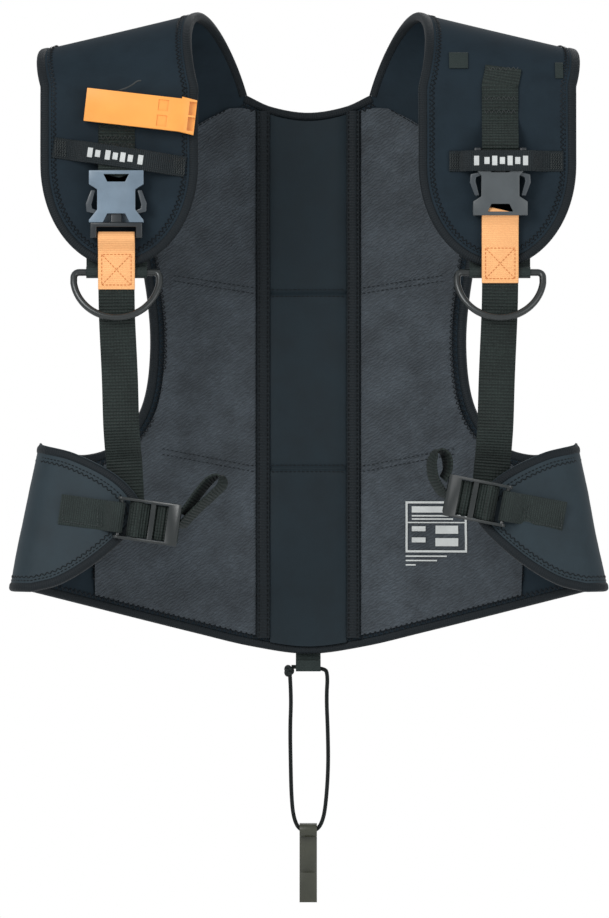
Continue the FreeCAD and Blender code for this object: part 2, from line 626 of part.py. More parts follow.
def build_straps():
    """Main webbing from each grab tab to its adjuster, and the free tails."""
    for side in ("right", "left"):
        at = LOCK_AT[side]
        top = TAB_END[side] - 0.6
        x = 151.0
        y = TAB_FRONT + WEB_THICK * 1.0
        inside = wing_face_y(160, -357, 0) + BINDING_PROUD + WEB_THICK / 2 + 0.8
        path = [V(x, y, top), V(x, y, top - 3), V(x - 0.5, y + 1.6, top - 24), V(x - 2.5, y + 4, -285),
                V(x - 3.5, y + 9, -322), V(x - 4.5, inside - 8, -341), V(x - 5.5, inside, -353), V(x - 7.5, inside, at.z + 7)]
        sided("strap_webbing", side, ribbon(path, WEB_WIDTH - 0.5, WEB_THICK))
        l = LOCK_LENGTH / 2
        turn = math.radians(LOCK_TURN[side])
        out = V(-math.cos(turn), 0, math.sin(turn))
        base = at + out * (l + 4.2) + V(0, 7.2, 0)
        height, lean = (36.0, 4.5) if side == "left" else (34.0, 0.0)
        tail = [base, base + out * 2.5 + V(0, 0, 1.5), base + V(-5.5, -1, 7), base + V(-9, -2, height * 0.45),
                base + V(-9.5, -4, height * 0.78), base + V(-5, -5, height), base + V(1 - lean / 2, -5, height * 0.92),
                base + V(2.5 - lean, -4, height * 0.6), base + V(-1 - lean, -3, height * 0.36)]
        across = V(0.35, -0.93, 0.1)
        sided("webbing_tail", side, ribbon(smooth_path(tail, TAIL_SECTIONS), TAIL_WIDTH, WEB_THICK, across))


def build_whistle():
    """Flat two-chamber whistle across the left pad, on a slider that grips the anchor webbing's edges."""
    l, h, t = WHISTLE_LENGTH / 2, WHISTLE_HEIGHT / 2, WHISTLE_THICK / 2
    mouth = 12.0
    body = box(-l, l - mouth, -t, t, -h, h)
    step = polygon_prism([V(l - mouth, -t, -h), V(l - mouth, t, -h), V(l, t, -h - 1.5), V(l, -t + 3, -h - 1.5)],
                         V(0, 0, 2 * h + 1.5))
    body = body.fuse(step)
    wall = 1.6
    for s in (-1, 1):
        z0, z1 = (wall / 2, h - wall) if s > 0 else (-h + wall, -wall / 2)
        body = body.cut(box(-l + 8, l + 1, -t + wall, t - wall, z0, z1))
        body = body.cut(box(l - 30, l - 22, -t - 1, 0, z0 + 1, z1 - 1))
    webbing_front = PAD_FRONT - WEB_THICK
    back = webbing_front - FIT - CLIP_PLATE
    centre = V(-132, back - t, -76)
    body.rotate(V(0, 0, 0), V(0, 1, 0), 6.5)
    body.translate(centre)
    keep("whistle_body", body)
    x = BUCKLE_AT["left"].x
    half = WEB_WIDTH / 2 + FIT
    slider = box(x - half - 1.5, x + half + 1.5, back, PAD_FRONT - FIT, centre.z - 8, centre.z + 8)
    keep("whistle_clip", slider.cut(box(x - half, x + half, back + CLIP_PLATE, PAD_FRONT, centre.z - 9, centre.z + 9)))


# --- crotch cord ---------------------------------------------------------------------------------
TAB_Z = HEM_Z + 4
TAB_DROP = 19.0
TUNNEL_Z = TAB_Z - TAB_DROP + 3.6
CORD_Y = PANEL_DEPTH + PANEL_THICK / 2
HOOK_BAR_Z = TUNNEL_Z - 132.0
CORD_ROUTE = [(-13.5, 0.0), (13.2, 0.0), (15.8, -7.0), (14.6, -24.0), (15.8, -52.0), (16.2, -80.0),
              (14.6, -106.0), (12.4, -122.0), (8.0, -131.0), (0.5, -132.6), (-7.5, -131.0), (-12.0, -121.0),
              (-13.6, -103.0), (-14.2, -76.0), (-14.6, -48.0), (-13.6, -24.0), (-14.8, -5.5)]


def rounded_path(points):
    """Straight runs joined by tangent arcs, each as large as its runs allow."""
    runs = [(b - a).Length for a, b in zip(points, points[1:])]
    edges, last = [], points[0]
    for i in range(1, len(points) - 1):
        a, p, b = points[i - 1], points[i], points[i + 1]
        back, on = (a - p).normalize(), (b - p).normalize()
        cut = 0.45 * min(runs[i - 1], runs[i])
        turn = math.pi - back.getAngle(on)
        p1, p2 = p + back * cut, p + on * cut
        radius = cut / math.tan(turn / 2)
        sag = radius / math.cos(turn / 2) - radius
        middle = p + (back + on).normalize() * sag
        print(f"cord bend {i}: radius {radius:.1f} mm")
        edges += [Part.LineSegment(last, p1).toShape(), Part.Arc(p1, middle, p2).toShape()]
        last = p2
    edges.append(Part.LineSegment(last, points[-1]).toShape())
    return Part.Wire(edges)


def build_crotch_cord():
    """Hem tab with its tunnel, the cord loop, its knot and the belt hook."""
    half = 10.0
    t = 2.6
    r = CORD_D / 2
    tab = box(-half, half, CORD_Y - r - t, CORD_Y + r + t, TAB_Z - TAB_DROP, TAB_Z - 10)
    rear = CORD_Y + PANEL_THICK / 2 + BINDING_PROUD + LAYER_GAP
    tab = tab.fuse(box(-half, half, rear, rear + 2, TAB_Z - TAB_DROP + 5, HEM_Z + BINDING_WIDTH - 0.4))
    tab = tab.fuse(box(-half, half, CORD_Y + r, rear + 2, TAB_Z - TAB_DROP + 5, TAB_Z - 10))
    tunnel = Part.makeCylinder(r + FIT, 60, V(-30, CORD_Y, TUNNEL_Z), V(1, 0, 0))
    clear = y_prism(panel_outline(), -40, 120).common(panel_layer(-2, PANEL_THICK + BINDING_PROUD + LAYER_GAP))
    keep("hem_tab", tab.cut(tunnel).cut(clear))
    route = [V(x, CORD_Y, TUNNEL_Z + z) for x, z in CORD_ROUTE]
    wire = rounded_path(route)
    section = Part.Wire(Part.Circle(route[0], V(1, 0, 0), r).toShape())
    keep("crotch_cord", wire.makePipeShell([section], True, True))
    knot = Part.makeSphere(4.4, V(-15.6, CORD_Y, TUNNEL_Z - 3.2))
    keep("cord_knot", knot.cut(box(-half - 0.4, half, 0, 200, -700, 0)).cut(nodes["crotch_cord"][0]))
    build_hook()


def build_hook():
    """Flat J-shaped belt hook with a closed eye that rides on the cord."""
    w = HOOK_WIDTH / 2
    eye = CORD_D / 2 + 1.8
    plate = 2.2
    bar = V(0, CORD_Y, HOOK_BAR_Z + 0.6)
    ring = Part.makeCylinder(eye + plate, 2 * w, V(-w, bar.y, bar.z), V(1, 0, 0))
    bore = Part.makeCylinder(eye, 4 * w, V(-2 * w, bar.y, bar.z), V(1, 0, 0))
    back_y = bar.y + eye
    length, leaf = 58.0, 24.0
    back = box(-w, w, back_y, back_y + plate, bar.z - length, bar.z)
    front_y = back_y - HOOK_GAP - plate
    front = box(-w, w, front_y, front_y + plate, bar.z - length, bar.z - length + leaf)
    foot = box(-w, w, front_y, back_y + plate, bar.z - length, bar.z - length + plate)
    keep("belt_hook", ring.fuse(back).fuse(front).fuse(foot).cut(bore).removeSplitter())


def build_shoulder_hardware():
    for side, up in (("left", True), ("right", False)):
        bars = build_buckle(side, BUCKLE_AT[side], up)
        build_shoulder_webbing(side, *bars)
        build_keeper_band(side)


def main():
    build_back()
    build_yokes()
    build_pads()
    build_rings()
    build_shoulder_hardware()
    build_wings()
    build_adjusters()
    build_straps()
    build_whistle()
    build_crotch_cord()
    for name, shapes in nodes.items():
        solids = [s for shape in shapes for s in shape.Solids if s.Volume > 0.5]
        bad = [s for s in solids if not s.isValid()]
        print(name, len(solids), "solids", round(sum(s.Volume for s in solids)), "mm3", "INVALID" if bad else "")
        whole = solids[0] if len(solids) == 1 else Part.makeCompound(solids)
        whole.exportStep(f"parts/{name}.step")


main()
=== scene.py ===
"""Diver's ballast harness: builds the finished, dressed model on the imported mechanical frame.

Sizes are in millimetres inside the classes and become metres when a mesh is made. X is across the body,
Y is depth (the chest side is -Y) and Z is up, with the origin between the shoulder crests.
"""

import logging
import math
from dataclasses import dataclass
from enum import Enum
from typing import Callable, Iterable, Sequence

import bpy
from mathutils import Matrix, Vector, noise


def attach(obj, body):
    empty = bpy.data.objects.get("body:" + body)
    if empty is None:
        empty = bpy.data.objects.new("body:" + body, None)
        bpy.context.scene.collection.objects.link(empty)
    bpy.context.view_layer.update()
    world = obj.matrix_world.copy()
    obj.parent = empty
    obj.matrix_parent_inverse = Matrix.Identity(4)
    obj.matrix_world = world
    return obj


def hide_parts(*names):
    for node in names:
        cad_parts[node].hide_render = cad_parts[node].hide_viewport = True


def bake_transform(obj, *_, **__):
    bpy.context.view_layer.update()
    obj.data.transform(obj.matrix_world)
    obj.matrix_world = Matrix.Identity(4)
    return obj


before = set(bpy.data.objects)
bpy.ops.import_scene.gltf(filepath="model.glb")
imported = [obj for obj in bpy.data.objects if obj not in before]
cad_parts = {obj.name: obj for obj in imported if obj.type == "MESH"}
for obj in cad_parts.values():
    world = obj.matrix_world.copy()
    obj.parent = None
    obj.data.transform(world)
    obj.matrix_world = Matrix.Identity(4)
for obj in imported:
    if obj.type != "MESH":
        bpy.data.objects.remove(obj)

LOG = logging.getLogger("harness")
MM = 0.001
Point = tuple[float, float, float]
Flat = tuple[float, float]


class Side(Enum):
    """The side of the body as seen from the chest, with its sign along X."""

    LEFT = -1
    RIGHT = 1

    @property
    def word(self) -> str:
        """The side's name in node and body names."""
        return self.name.lower()

    def x(self, value: float) -> float:
        """A right-hand X coordinate on this side."""
        return value * self.value


class Weave(Enum):
    """Which way a cloth's ribs run: along UV, or across the object."""

    RIBS = "ribs"
    TWILL = "twill"
    KNIT = "knit"


# ------------------------------------------------------------------------------------------ finishes
@dataclass(frozen=True)
class Finish:
    """A surface finish: a node material with colour variation, roughness and relief."""

    name: str
    colour: tuple[float, float, float]
    roughness: float = 0.7
    vary: float = 0.15
    relief: float = 0.1
    sheen: float = 0.0
    coat: float = 0.0
    metal: float = 0.0
    specular: float = 0.5

    def material(self) -> bpy.types.Material:
        """Makes the material, or finds it if it is made already.

        Returns:
            The node material.
        """
        found = bpy.data.materials.get(self.name)
        if found:
            return found
        mat = bpy.data.materials.new(self.name)
        mat.use_nodes = True
        tree = mat.node_tree
        tree.nodes.clear()
        out = tree.nodes.new("ShaderNodeOutputMaterial")
        shader = tree.nodes.new("ShaderNodeBsdfPrincipled")
        tree.links.new(shader.outputs["BSDF"], out.inputs["Surface"])
        shader.inputs["Metallic"].default_value = self.metal
        shader.inputs["Coat Weight"].default_value = self.coat
        shader.inputs["Coat Roughness"].default_value = 0.25
        shader.inputs["Specular IOR Level"].default_value = self.specular
        shader.inputs["Sheen Weight"].default_value = self.sheen
        shader.inputs["Sheen Roughness"].default_value = 0.45
        shader.inputs["Base Color"].default_value = (*self.colour, 1)
        self.pattern(Nodes(tree, shader), shader)
        mat.diffuse_color = (*self.colour, 1)
        return mat

    def pattern(self, nodes: "Nodes", shader: bpy.types.Node) -> None:
        """Adds the finish's own colour, roughness and relief.

        Args:
            nodes: Node helper for the material's tree.
            shader: The Principled shader.
        """
        cloud = nodes.noise(nodes.place("Object"), 55.0, 4.0)
        nodes.colour(cloud, self.colour, self.vary)
        nodes.rough(cloud, self.roughness, 0.08)
        grain = nodes.noise(nodes.place("Object"), 1800.0, 2.0)
        nodes.bump([(grain, self.relief)])


class Nodes:
    """Short calls that wire a material's nodes."""

    def __init__(self, tree: bpy.types.NodeTree, shader: bpy.types.Node) -> None:
        """Keeps the tree and shader that the calls work on."""
        self.tree = tree
        self.shader = shader

    def new(self, kind: str, **values: object) -> bpy.types.Node:
        """Adds a node and sets its properties.

        Args:
            kind: The node type's name after "ShaderNode".
            **values: Properties to set.

        Returns:
            The new node.
        """
        node = self.tree.nodes.new("ShaderNode" + kind)
        for key, value in values.items():
            setattr(node, key, value)
        return node

    def link(self, source: bpy.types.NodeSocket, target: bpy.types.NodeSocket) -> None:
        """Links two sockets."""
        self.tree.links.new(source, target)

    def place(self, space: str, turn: Point = (0, 0, 0), scale: Point = (1, 1, 1)) -> bpy.types.NodeSocket:
        """Coordinates in a space, turned and scaled.

        Args:
            space: "Object" or "UV".
            turn: Rotation in degrees.
            scale: Scale of each axis.

        Returns:
            The vector socket.
        """
        coordinates = self.new("TexCoord")
        mapping = self.new("Mapping")
        mapping.inputs["Rotation"].default_value = [math.radians(a) for a in turn]
        mapping.inputs["Scale"].default_value = scale
        self.link(coordinates.outputs[space], mapping.inputs["Vector"])
        return mapping.outputs["Vector"]

    def noise(self, vector: bpy.types.NodeSocket, scale: float, detail: float = 2.0,
              rough: float = 0.55) -> bpy.types.NodeSocket:
        """A noise value over the given coordinates."""
        node = self.new("TexNoise")
        node.inputs["Scale"].default_value = scale
        node.inputs["Detail"].default_value = detail
        node.inputs["Roughness"].default_value = rough
        self.link(vector, node.inputs["Vector"])
        return node.outputs["Fac"]

    def wave(self, vector: bpy.types.NodeSocket, period: float, axis: str = "X", distort: float = 0.0,
             detail_scale: float = 1.0) -> bpy.types.NodeSocket:
        """Parallel ridges, one each period (metres), along an axis of the coordinates."""
        node = self.new("TexWave", wave_type="BANDS", bands_direction=axis)
        node.inputs["Scale"].default_value = 0.3141 / period
        node.inputs["Distortion"].default_value = distort
        node.inputs["Detail"].default_value = 1.0
        node.inputs["Detail Scale"].default_value = detail_scale
        self.link(vector, node.inputs["Vector"])
        return node.outputs["Fac"]

    def colour(self, factor: bpy.types.NodeSocket, base: Point, vary: float, lift: float = 1.0) -> None:
        """Base colour that swings darker and lighter with a factor."""
        ramp = self.new("ValToRGB")
        ramp.color_ramp.elements[0].position = 0.25
        ramp.color_ramp.elements[1].position = 0.75
        ramp.color_ramp.elements[0].color = (*[c * (1 - vary) for c in base], 1)
        ramp.color_ramp.elements[1].color = (*[min(1, c * (1 + vary * lift)) for c in base], 1)
        self.link(factor, ramp.inputs["Fac"])
        self.link(ramp.outputs["Color"], self.shader.inputs["Base Color"])

    def rough(self, factor: bpy.types.NodeSocket, base: float, vary: float) -> None:
        """Roughness that swings with a factor."""
        span = self.new("MapRange")
        span.inputs["To Min"].default_value = max(0.02, base - vary)
        span.inputs["To Max"].default_value = min(1, base + vary)
        self.link(factor, span.inputs["Value"])
        self.link(span.outputs["Result"], self.shader.inputs["Roughness"])

    def mix(self, a: bpy.types.NodeSocket, b: bpy.types.NodeSocket, how: str = "ADD",
            share: float = 0.5) -> bpy.types.NodeSocket:
        """Combines two values, with the second one scaled by share."""
        scaled = self.new("Math", operation="MULTIPLY")
        self.link(b, scaled.inputs[0])
        scaled.inputs[1].default_value = share
        node = self.new("Math", operation=how)
        self.link(a, node.inputs[0])
        self.link(scaled.outputs[0], node.inputs[1])
        return node.outputs[0]

    def bump(self, layers: Sequence[tuple[bpy.types.NodeSocket, float]], depth: float = 0.0006) -> None:
        """Stacks relief layers, each with its strength, on the shader's normal."""
        previous = None
        for height, strength in layers:
            node = self.new("Bump")
            node.inputs["Strength"].default_value = strength
            node.inputs["Distance"].default_value = depth
            self.link(height, node.inputs["Height"])
            if previous:
                self.link(previous, node.inputs["Normal"])
            previous = node.outputs["Normal"]
        self.link(previous, self.shader.inputs["Normal"])


@dataclass(frozen=True)
class Cloth(Finish):
    """A woven or knitted finish with ribs at a stated spacing."""

    specular: float = 0.22
    weave: Weave = Weave.KNIT
    period: float = 0.0016
    turn: float = 0.0

    def pattern(self, nodes: Nodes, shader: bpy.types.Node) -> None:
        """Adds the weave, soft shading blotches and fibre grain."""
        body = nodes.place("Object")
        cloud = nodes.noise(body, 38.0, 5.0, 0.6)
        fuzz = nodes.noise(body, 900.0, 3.0)
        if self.weave is Weave.RIBS:
            uv = nodes.place("UV")
            ribs = nodes.wave(uv, self.period, "Y", 0.6, 2.0)
            warp = nodes.wave(uv, self.period * 0.9, "X", 0.4, 2.0)
            nodes.colour(nodes.mix(nodes.mix(cloud, ribs, "ADD", 0.45), fuzz, "MULTIPLY", 1.1), self.colour,
                         self.vary, 1.4)
            nodes.rough(fuzz, self.roughness, 0.1)
            nodes.bump([(ribs, self.relief), (warp, self.relief * 0.4), (fuzz, 0.25)])
        elif self.weave is Weave.TWILL:
            lines = nodes.wave(nodes.place("Object", (0, self.turn, 0)), self.period, "Z", 5.0, 1.6)
            broken = nodes.noise(nodes.place("Object", (0, self.turn, 0), (1, 1, 4)), 240.0, 5.0, 0.75)
            mixed = nodes.mix(nodes.mix(cloud, lines, "ADD", 0.16), broken, "MULTIPLY", 1.5)
            nodes.colour(mixed, self.colour, self.vary, 1.5)
            nodes.rough(broken, self.roughness, 0.12)
            nodes.bump([(lines, self.relief), (broken, self.relief * 0.8), (fuzz, 0.2)], 0.0008)
        else:
            courses = nodes.wave(body, self.period, "Z", 1.0, 3.0)
            nodes.colour(nodes.mix(cloud, fuzz, "ADD", 0.25), self.colour, self.vary, 1.2)
            nodes.rough(cloud, self.roughness, 0.08)
            nodes.bump([(courses, self.relief * 0.5), (fuzz, self.relief)], 0.0004)


NEOPRENE = Cloth("Smooth neoprene", (0.0120, 0.0200, 0.0270), 0.72, 0.22, 0.12, 0.0, specular=0.10,
                 weave=Weave.KNIT, period=0.0009)
SPINE_CLOTH = Cloth("Spine neoprene", (0.0068, 0.0140, 0.0190), 0.6, 0.22, 0.12, 0.04, weave=Weave.KNIT,
                    period=0.0009)
WING_CLOTH = Cloth("Wing neoprene", (0.0170, 0.0280, 0.0350), 0.6, 0.22, 0.12, 0.05, weave=Weave.KNIT,
                   period=0.0009)
LINING = Cloth("Ribbed stretch lining", (0.045, 0.0555, 0.0655), 0.52, 0.4, 0.5, 0.12, weave=Weave.TWILL,
               period=0.0023, turn=34.0)
BINDING = Cloth("Binding tape", (0.0055, 0.0095, 0.0125), 0.6, 0.25, 0.35, 0.05, weave=Weave.RIBS,
                period=0.0018)
TAPE = Cloth("Seam tape", (0.0058, 0.0100, 0.0130), 0.6, 0.25, 0.35, 0.05, weave=Weave.RIBS, period=0.0022)
WEBBING = Cloth("Ribbed black webbing", (0.0150, 0.0225, 0.0200), 0.55, 0.45, 0.9, 0.05, weave=Weave.RIBS,
                period=0.0026)
LOOP_WEBBING = Cloth("Sewn black webbing", (0.0150, 0.0225, 0.0210), 0.6, 0.3, 1.2, 0.05, weave=Weave.KNIT,
                     period=0.0017)
PATCH_WEBBING = Cloth("Flat black webbing", (0.0200, 0.0290, 0.0270), 0.6, 0.35, 0.7, 0.06, weave=Weave.RIBS,
                      period=0.0018)
ELASTIC = Cloth("Knitted elastic", (0.0110, 0.0165, 0.0190), 0.5, 0.3, 0.8, 0.05, weave=Weave.RIBS,
                period=0.0017)
ORANGE = Cloth("Ribbed orange webbing", (0.97, 0.475, 0.200), 0.62, 0.10, 0.35, 0.05, weave=Weave.RIBS,
               period=0.0017)
CORD_CLOTH = Cloth("Braided elastic cord", (0.012, 0.018, 0.017), 0.55, 0.35, 0.9, 0.05, weave=Weave.RIBS,
                   period=0.0022)
THREAD = Finish("Black thread", (0.0035, 0.0050, 0.0065), 0.5, 0.2, 0.3, specular=0.3)
GREY_THREAD = Finish("Charcoal thread", (0.040, 0.046, 0.046), 0.5, 0.2, 0.3, specular=0.3)
ORANGE_THREAD = Finish("Orange thread", (0.62, 0.20, 0.05), 0.5, 0.15, 0.3)
# Left buckle socket: the buckle plastic, lightened by a painted reflection of the lights on its face.
SOCKET_REFLECTION_PLASTIC = Finish("Satin slate plastic", (0.150, 0.205, 0.260), 0.36, 0.16, 0.10, 0.0, 0.25)
CHARCOAL_PLASTIC = Finish("Satin charcoal plastic", (0.058, 0.068, 0.073), 0.36, 0.16, 0.10, 0.0, 0.25)
LATCH_PLASTIC = Finish("Satin latch plastic", (0.040, 0.050, 0.058), 0.32, 0.16, 0.10, 0.0, 0.3)
PLUG_PLASTIC = Finish("Satin plug plastic", (0.014, 0.018, 0.021), 0.34, 0.16, 0.10, 0.0, 0.2)
LOCK_PLASTIC = Finish("Satin adjuster plastic", (0.012, 0.016, 0.016), 0.3, 0.2, 0.10, 0.0, 0.2)
HOOK_PLASTIC = Finish("Satin hook plastic", (0.034, 0.036, 0.022), 0.38, 0.2, 0.10, 0.0, 0.25)
BLACK_PLASTIC = Finish("Satin black plastic", (0.014, 0.017, 0.016), 0.36, 0.2, 0.10, 0.0, 0.2)
COATED_STEEL = Finish("Black coated steel", (0.022, 0.026, 0.026), 0.3, 0.2, 0.08, 0.0, 0.35, 0.3)
ORANGE_PLASTIC = Finish("Moulded orange plastic", (0.97, 0.385, 0.070), 0.42, 0.05, 0.06, 0.0, 0.15)
PRINT = Finish("Pale printed ink", (0.55, 0.57, 0.56), 0.7, 0.12, 0.2)


# ----------------------------------------------------------------------------------------- workbench
class Bench:
    """Mesh making and finishing steps shared by every sub-assembly."""

    @staticmethod
    def clear() -> None:
        """Leaves edit mode and deselects everything."""
        if bpy.context.object and bpy.context.object.mode != "OBJECT":
            bpy.ops.object.mode_set(mode="OBJECT")
        for obj in bpy.context.selected_objects:
            obj.select_set(False)

    @staticmethod
    def take(obj: bpy.types.Object) -> None:
        """Makes an object the only selected and active one."""
        Bench.clear()
        obj.select_set(True)
        bpy.context.view_layer.objects.active = obj

    @staticmethod
    def mesh(name: str, verts: Iterable[Point], faces: Iterable[Sequence[int]]) -> bpy.types.Object:
        """Makes an object from points in millimetres.

        Args:
            name: The piece's name.
            verts: Points in millimetres.
            faces: Corner numbers of each face.

        Returns:
            The object, at the origin, in metres.
        """
        data = bpy.data.meshes.new(name)
        data.from_pydata([(x * MM, y * MM, z * MM) for x, y, z in verts], [], [list(f) for f in faces])
        data.update()
        obj = bpy.data.objects.new(name, data)
        bpy.context.scene.collection.objects.link(obj)
        return obj

    @staticmethod
    def modifier(obj: bpy.types.Object, kind: str, **values: object) -> None:
        """Adds a modifier and applies it.

        Args:
            obj: The object.
            kind: Modifier type, such as "SOLIDIFY".
            **values: Its settings.
        """
        Bench.take(obj)
        mod = obj.modifiers.new(kind.title(), kind)
        for key, value in values.items():
            setattr(mod, key, value)
        bpy.ops.object.modifier_apply(modifier=mod.name)

    @staticmethod
    def tidy(obj: bpy.types.Object, merge: float = 0.01, dissolve: bool = False,
             outward: bool = True) -> None:
        """Merges doubled points and turns every face outwards.

        Args:
            obj: The object.
            merge: Merge distance in millimetres.
            dissolve: True to dissolve flat triangles into larger faces.
            outward: True to recalculate the normals.
        """
        Bench.take(obj)
        bpy.ops.object.mode_set(mode="EDIT")
        bpy.ops.mesh.select_all(action="SELECT")
        bpy.ops.mesh.remove_doubles(threshold=merge * MM)
        if dissolve:
            bpy.ops.mesh.dissolve_limited(angle_limit=math.radians(2))
        if outward:
            bpy.ops.mesh.normals_make_consistent(inside=False)
        bpy.ops.object.mode_set(mode="OBJECT")

    @staticmethod
    def smooth(obj: bpy.types.Object, angle: float = 35.0) -> None:
        """Shades faces smooth, except across edges sharper than an angle in degrees."""
        Bench.take(obj)
        bpy.ops.object.shade_smooth_by_angle(angle=math.radians(angle))

    @staticmethod
    def join(name: str, objects: Sequence[bpy.types.Object]) -> bpy.types.Object:
        """Joins objects into one piece.

        Args:
            name: The piece's name.
            objects: The objects, at least one.

        Returns:
            The joined object.
        """
        Bench.take(objects[0])
        for obj in objects[1:]:
            obj.select_set(True)
        if len(objects) > 1:
            bpy.ops.object.join()
        objects[0].name = name
        objects[0].data.name = name
        return objects[0]

    @staticmethod
    def dress(obj: bpy.types.Object, finish: Finish, slot: str) -> bpy.types.Object:
        """Gives a piece its finish and joins the words of its name."""
        obj.name = obj.name.replace(" ", "_").lower()
        obj.data.materials.clear()
        obj.data.materials.append(finish.material())
        LOG.info("%s: %d faces, %s", obj.name, len(obj.data.polygons) if obj.type == "MESH" else 0,
                 finish.name)
        return obj

    @staticmethod
    def from_node(node: str, name: str, edge: float, finish: Finish, slot: str, body: str, segments: int = 2,
                  angle: float = 35.0) -> bpy.types.Object:
        """A finished moulding that stands for a mechanical node: its shape with eased edges.

        Args:
            node: The node's name.
            name: The piece's name.
            edge: Width of the eased edge in millimetres.
            finish: Its finish.
            slot: The record's slot; not used.
            body: The body it rides on.
            segments: Steps across the eased edge.
            angle: Sharpest edge, in degrees, that is left alone.

        Returns:
            The piece.
        """
        obj = bpy.data.objects.new(name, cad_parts[node].data.copy())
        bpy.context.scene.collection.objects.link(obj)
        Bench.tidy(obj, 0.004, dissolve=True)
        Bench.modifier(obj, "BEVEL", width=edge * MM, segments=segments, limit_method="ANGLE",
                       angle_limit=math.radians(angle), use_clamp_overlap=True, harden_normals=False)
        Bench.modifier(obj, "TRIANGULATE")
        Bench.smooth(obj, 40.0)
        Bench.dress(obj, finish, slot)
        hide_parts(node)
        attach(obj, body)
        return obj


def spline(points: Sequence[Point], steps: int = 8, closed: bool = False) -> list[Vector]:
    """A smooth line through points.

    Args:
        points: The points, in millimetres.
        steps: Steps from one point to the next.
        closed: True to join the last point to the first.

    Returns:
        The points along the line.
    """
    p = [Vector(q) for q in points]
    n = len(p)
    out: list[Vector] = []
    for i in range(n if closed else n - 1):
        a, b = p[i], p[(i + 1) % n]
        before = p[i - 1] if closed or i > 0 else a + (a - b)
        after = p[(i + 2) % n] if closed or i + 2 < n else b + (b - a)
        chord = (b - a).length
        ta = (b - before) * (chord / max(1e-6, (b - a).length + (a - before).length))
        tb = (after - a) * (chord / max(1e-6, (after - b).length + (b - a).length))
        for k in range(steps):
            t = k / steps
            h = (2 * t**3 - 3 * t**2 + 1, t**3 - 2 * t**2 + t, -2 * t**3 + 3 * t**2, t**3 - t**2)
            out.append(a * h[0] + ta * h[1] + b * h[2] + tb * h[3])
    if not closed:
        out.append(p[-1])
    return out


def tangent(line: Sequence[Vector], i: int) -> Vector:
    """The line's direction at one of its points, from the points on both sides."""
    return (line[min(i + 1, len(line) - 1)] - line[max(i - 1, 0)]).normalized()


def grid(rows: int, columns: int) -> list[Sequence[int]]:
    """The faces of a sheet of rows by columns, over points listed row by row."""
    faces: list[Sequence[int]] = []
    for r in range(rows):
        for c in range(columns):
            a = r * (columns + 1) + c
            faces.append((a, a + 1, a + columns + 2, a + columns + 1))
    return faces


def even(points: Sequence[Vector], step: float) -> list[Vector]:
    """The same line with points at an even spacing near step."""
    runs = [(b - a).length for a, b in zip(points, points[1:])]
    total = sum(runs)
    count = max(1, round(total / step))
    out, i, done = [], 0, 0.0
    for k in range(count + 1):
        want = total * k / count
        while i < len(runs) - 1 and done + runs[i] < want:
            done += runs[i]
            i += 1
        out.append(points[i].lerp(points[i + 1], min(1.0, (want - done) / max(1e-9, runs[i]))))
    return out


def section(width: float, thick: float, radius: float, steps: int = 3, shift: Flat = (0, 0)) -> list[Flat]:
    """A rounded rectangle, anticlockwise, round a shifted centre."""
    out = []
    r = min(radius, width / 2 - 0.01, thick / 2 - 0.01)
    for cx, cy, start in ((1, 1, 0), (-1, 1, 90), (-1, -1, 180), (1, -1, 270)):
        for k in range(steps + 1):
            a = math.radians(start + 90 * k / steps)
            out.append((shift[0] + cx * (width / 2 - r) + r * math.cos(a),
                        shift[1] + cy * (thick / 2 - r) + r * math.sin(a)))
    return out


def sweep(name: str, path: Sequence[Vector], normals: Sequence[Vector], profile: Sequence[Flat],
          closed: bool = False, taper: Callable[[float], Flat] | None = None) -> bpy.types.Object:
    """Sweeps a section along a path, with a UV map in metres along and across.

    Args:
        name: The piece's name.
        path: Points in millimetres.
        normals: The section's own up direction at each point.
        profile: Section points as (across, up).
        closed: True if the path is a ring.
        taper: Scale of the section (across, up) at a share of the length.

    Returns:
        The closed mesh.
    """
    verts: list[Point] = []
    n, m = len(path), len(profile)
    along = [0.0]
    for a, b in zip(path, path[1:]):
        along.append(along[-1] + (b - a).length)
    for i, p in enumerate(path):
        before = path[i - 1] if closed or i > 0 else p
        after = path[(i + 1) % n] if closed or i < n - 1 else p
        t = (after - before).normalized()
        up = (normals[i] - t * normals[i].dot(t)).normalized()
        across = t.cross(up)
        sx, sy = taper(along[i] / along[-1]) if taper else (1, 1)
        for a, b in profile:
            verts.append(tuple(p + across * (a * sx) + up * (b * sy)))
    faces = []
    for i in range(n if closed else n - 1):
        j = (i + 1) % n
        for k in range(m):
            faces.append((i * m + k, i * m + (k + 1) % m, j * m + (k + 1) % m, j * m + k))
    if not closed:
        faces.append(tuple(range(m))[::-1])
        faces.append(tuple((n - 1) * m + k for k in range(m)))
    obj = Bench.mesh(name, verts, faces)
    layer = obj.data.uv_layers.new(name="Cloth")
    around = [0.0]
    for k in range(m):
        a, b = profile[k], profile[(k + 1) % m]
        around.append(around[-1] + math.hypot(b[0] - a[0], b[1] - a[1]))
    for face in obj.data.polygons:
        quad = face.index < (n if closed else n - 1) * m
        for corner, loop in enumerate(face.loop_indices):
            if quad:
                i, k = divmod(face.index, m)
                u = around[k + (1 if corner in (1, 2) else 0)]
                v = along[i] if corner < 2 else (along[i + 1] if i + 1 < n else along[-1])
            else:
                u = v = 0.0
            layer.data[loop].uv = (u * MM, v * MM)
    Bench.take(obj)
    bpy.ops.object.mode_set(mode="EDIT")
    bpy.ops.mesh.select_all(action="SELECT")
    bpy.ops.mesh.normals_make_consistent(inside=False)
    bpy.ops.object.mode_set(mode="OBJECT")
    Bench.smooth(obj, 50.0)
    return obj


@dataclass(frozen=True)
class Seam:
    """A row of stitches: one stitch's length and gap, the thread's width, and the zigzag's half height."""

    length: float = 2.6
    gap: float = 1.0
    width: float = 0.55
    zigzag: float = 0.0


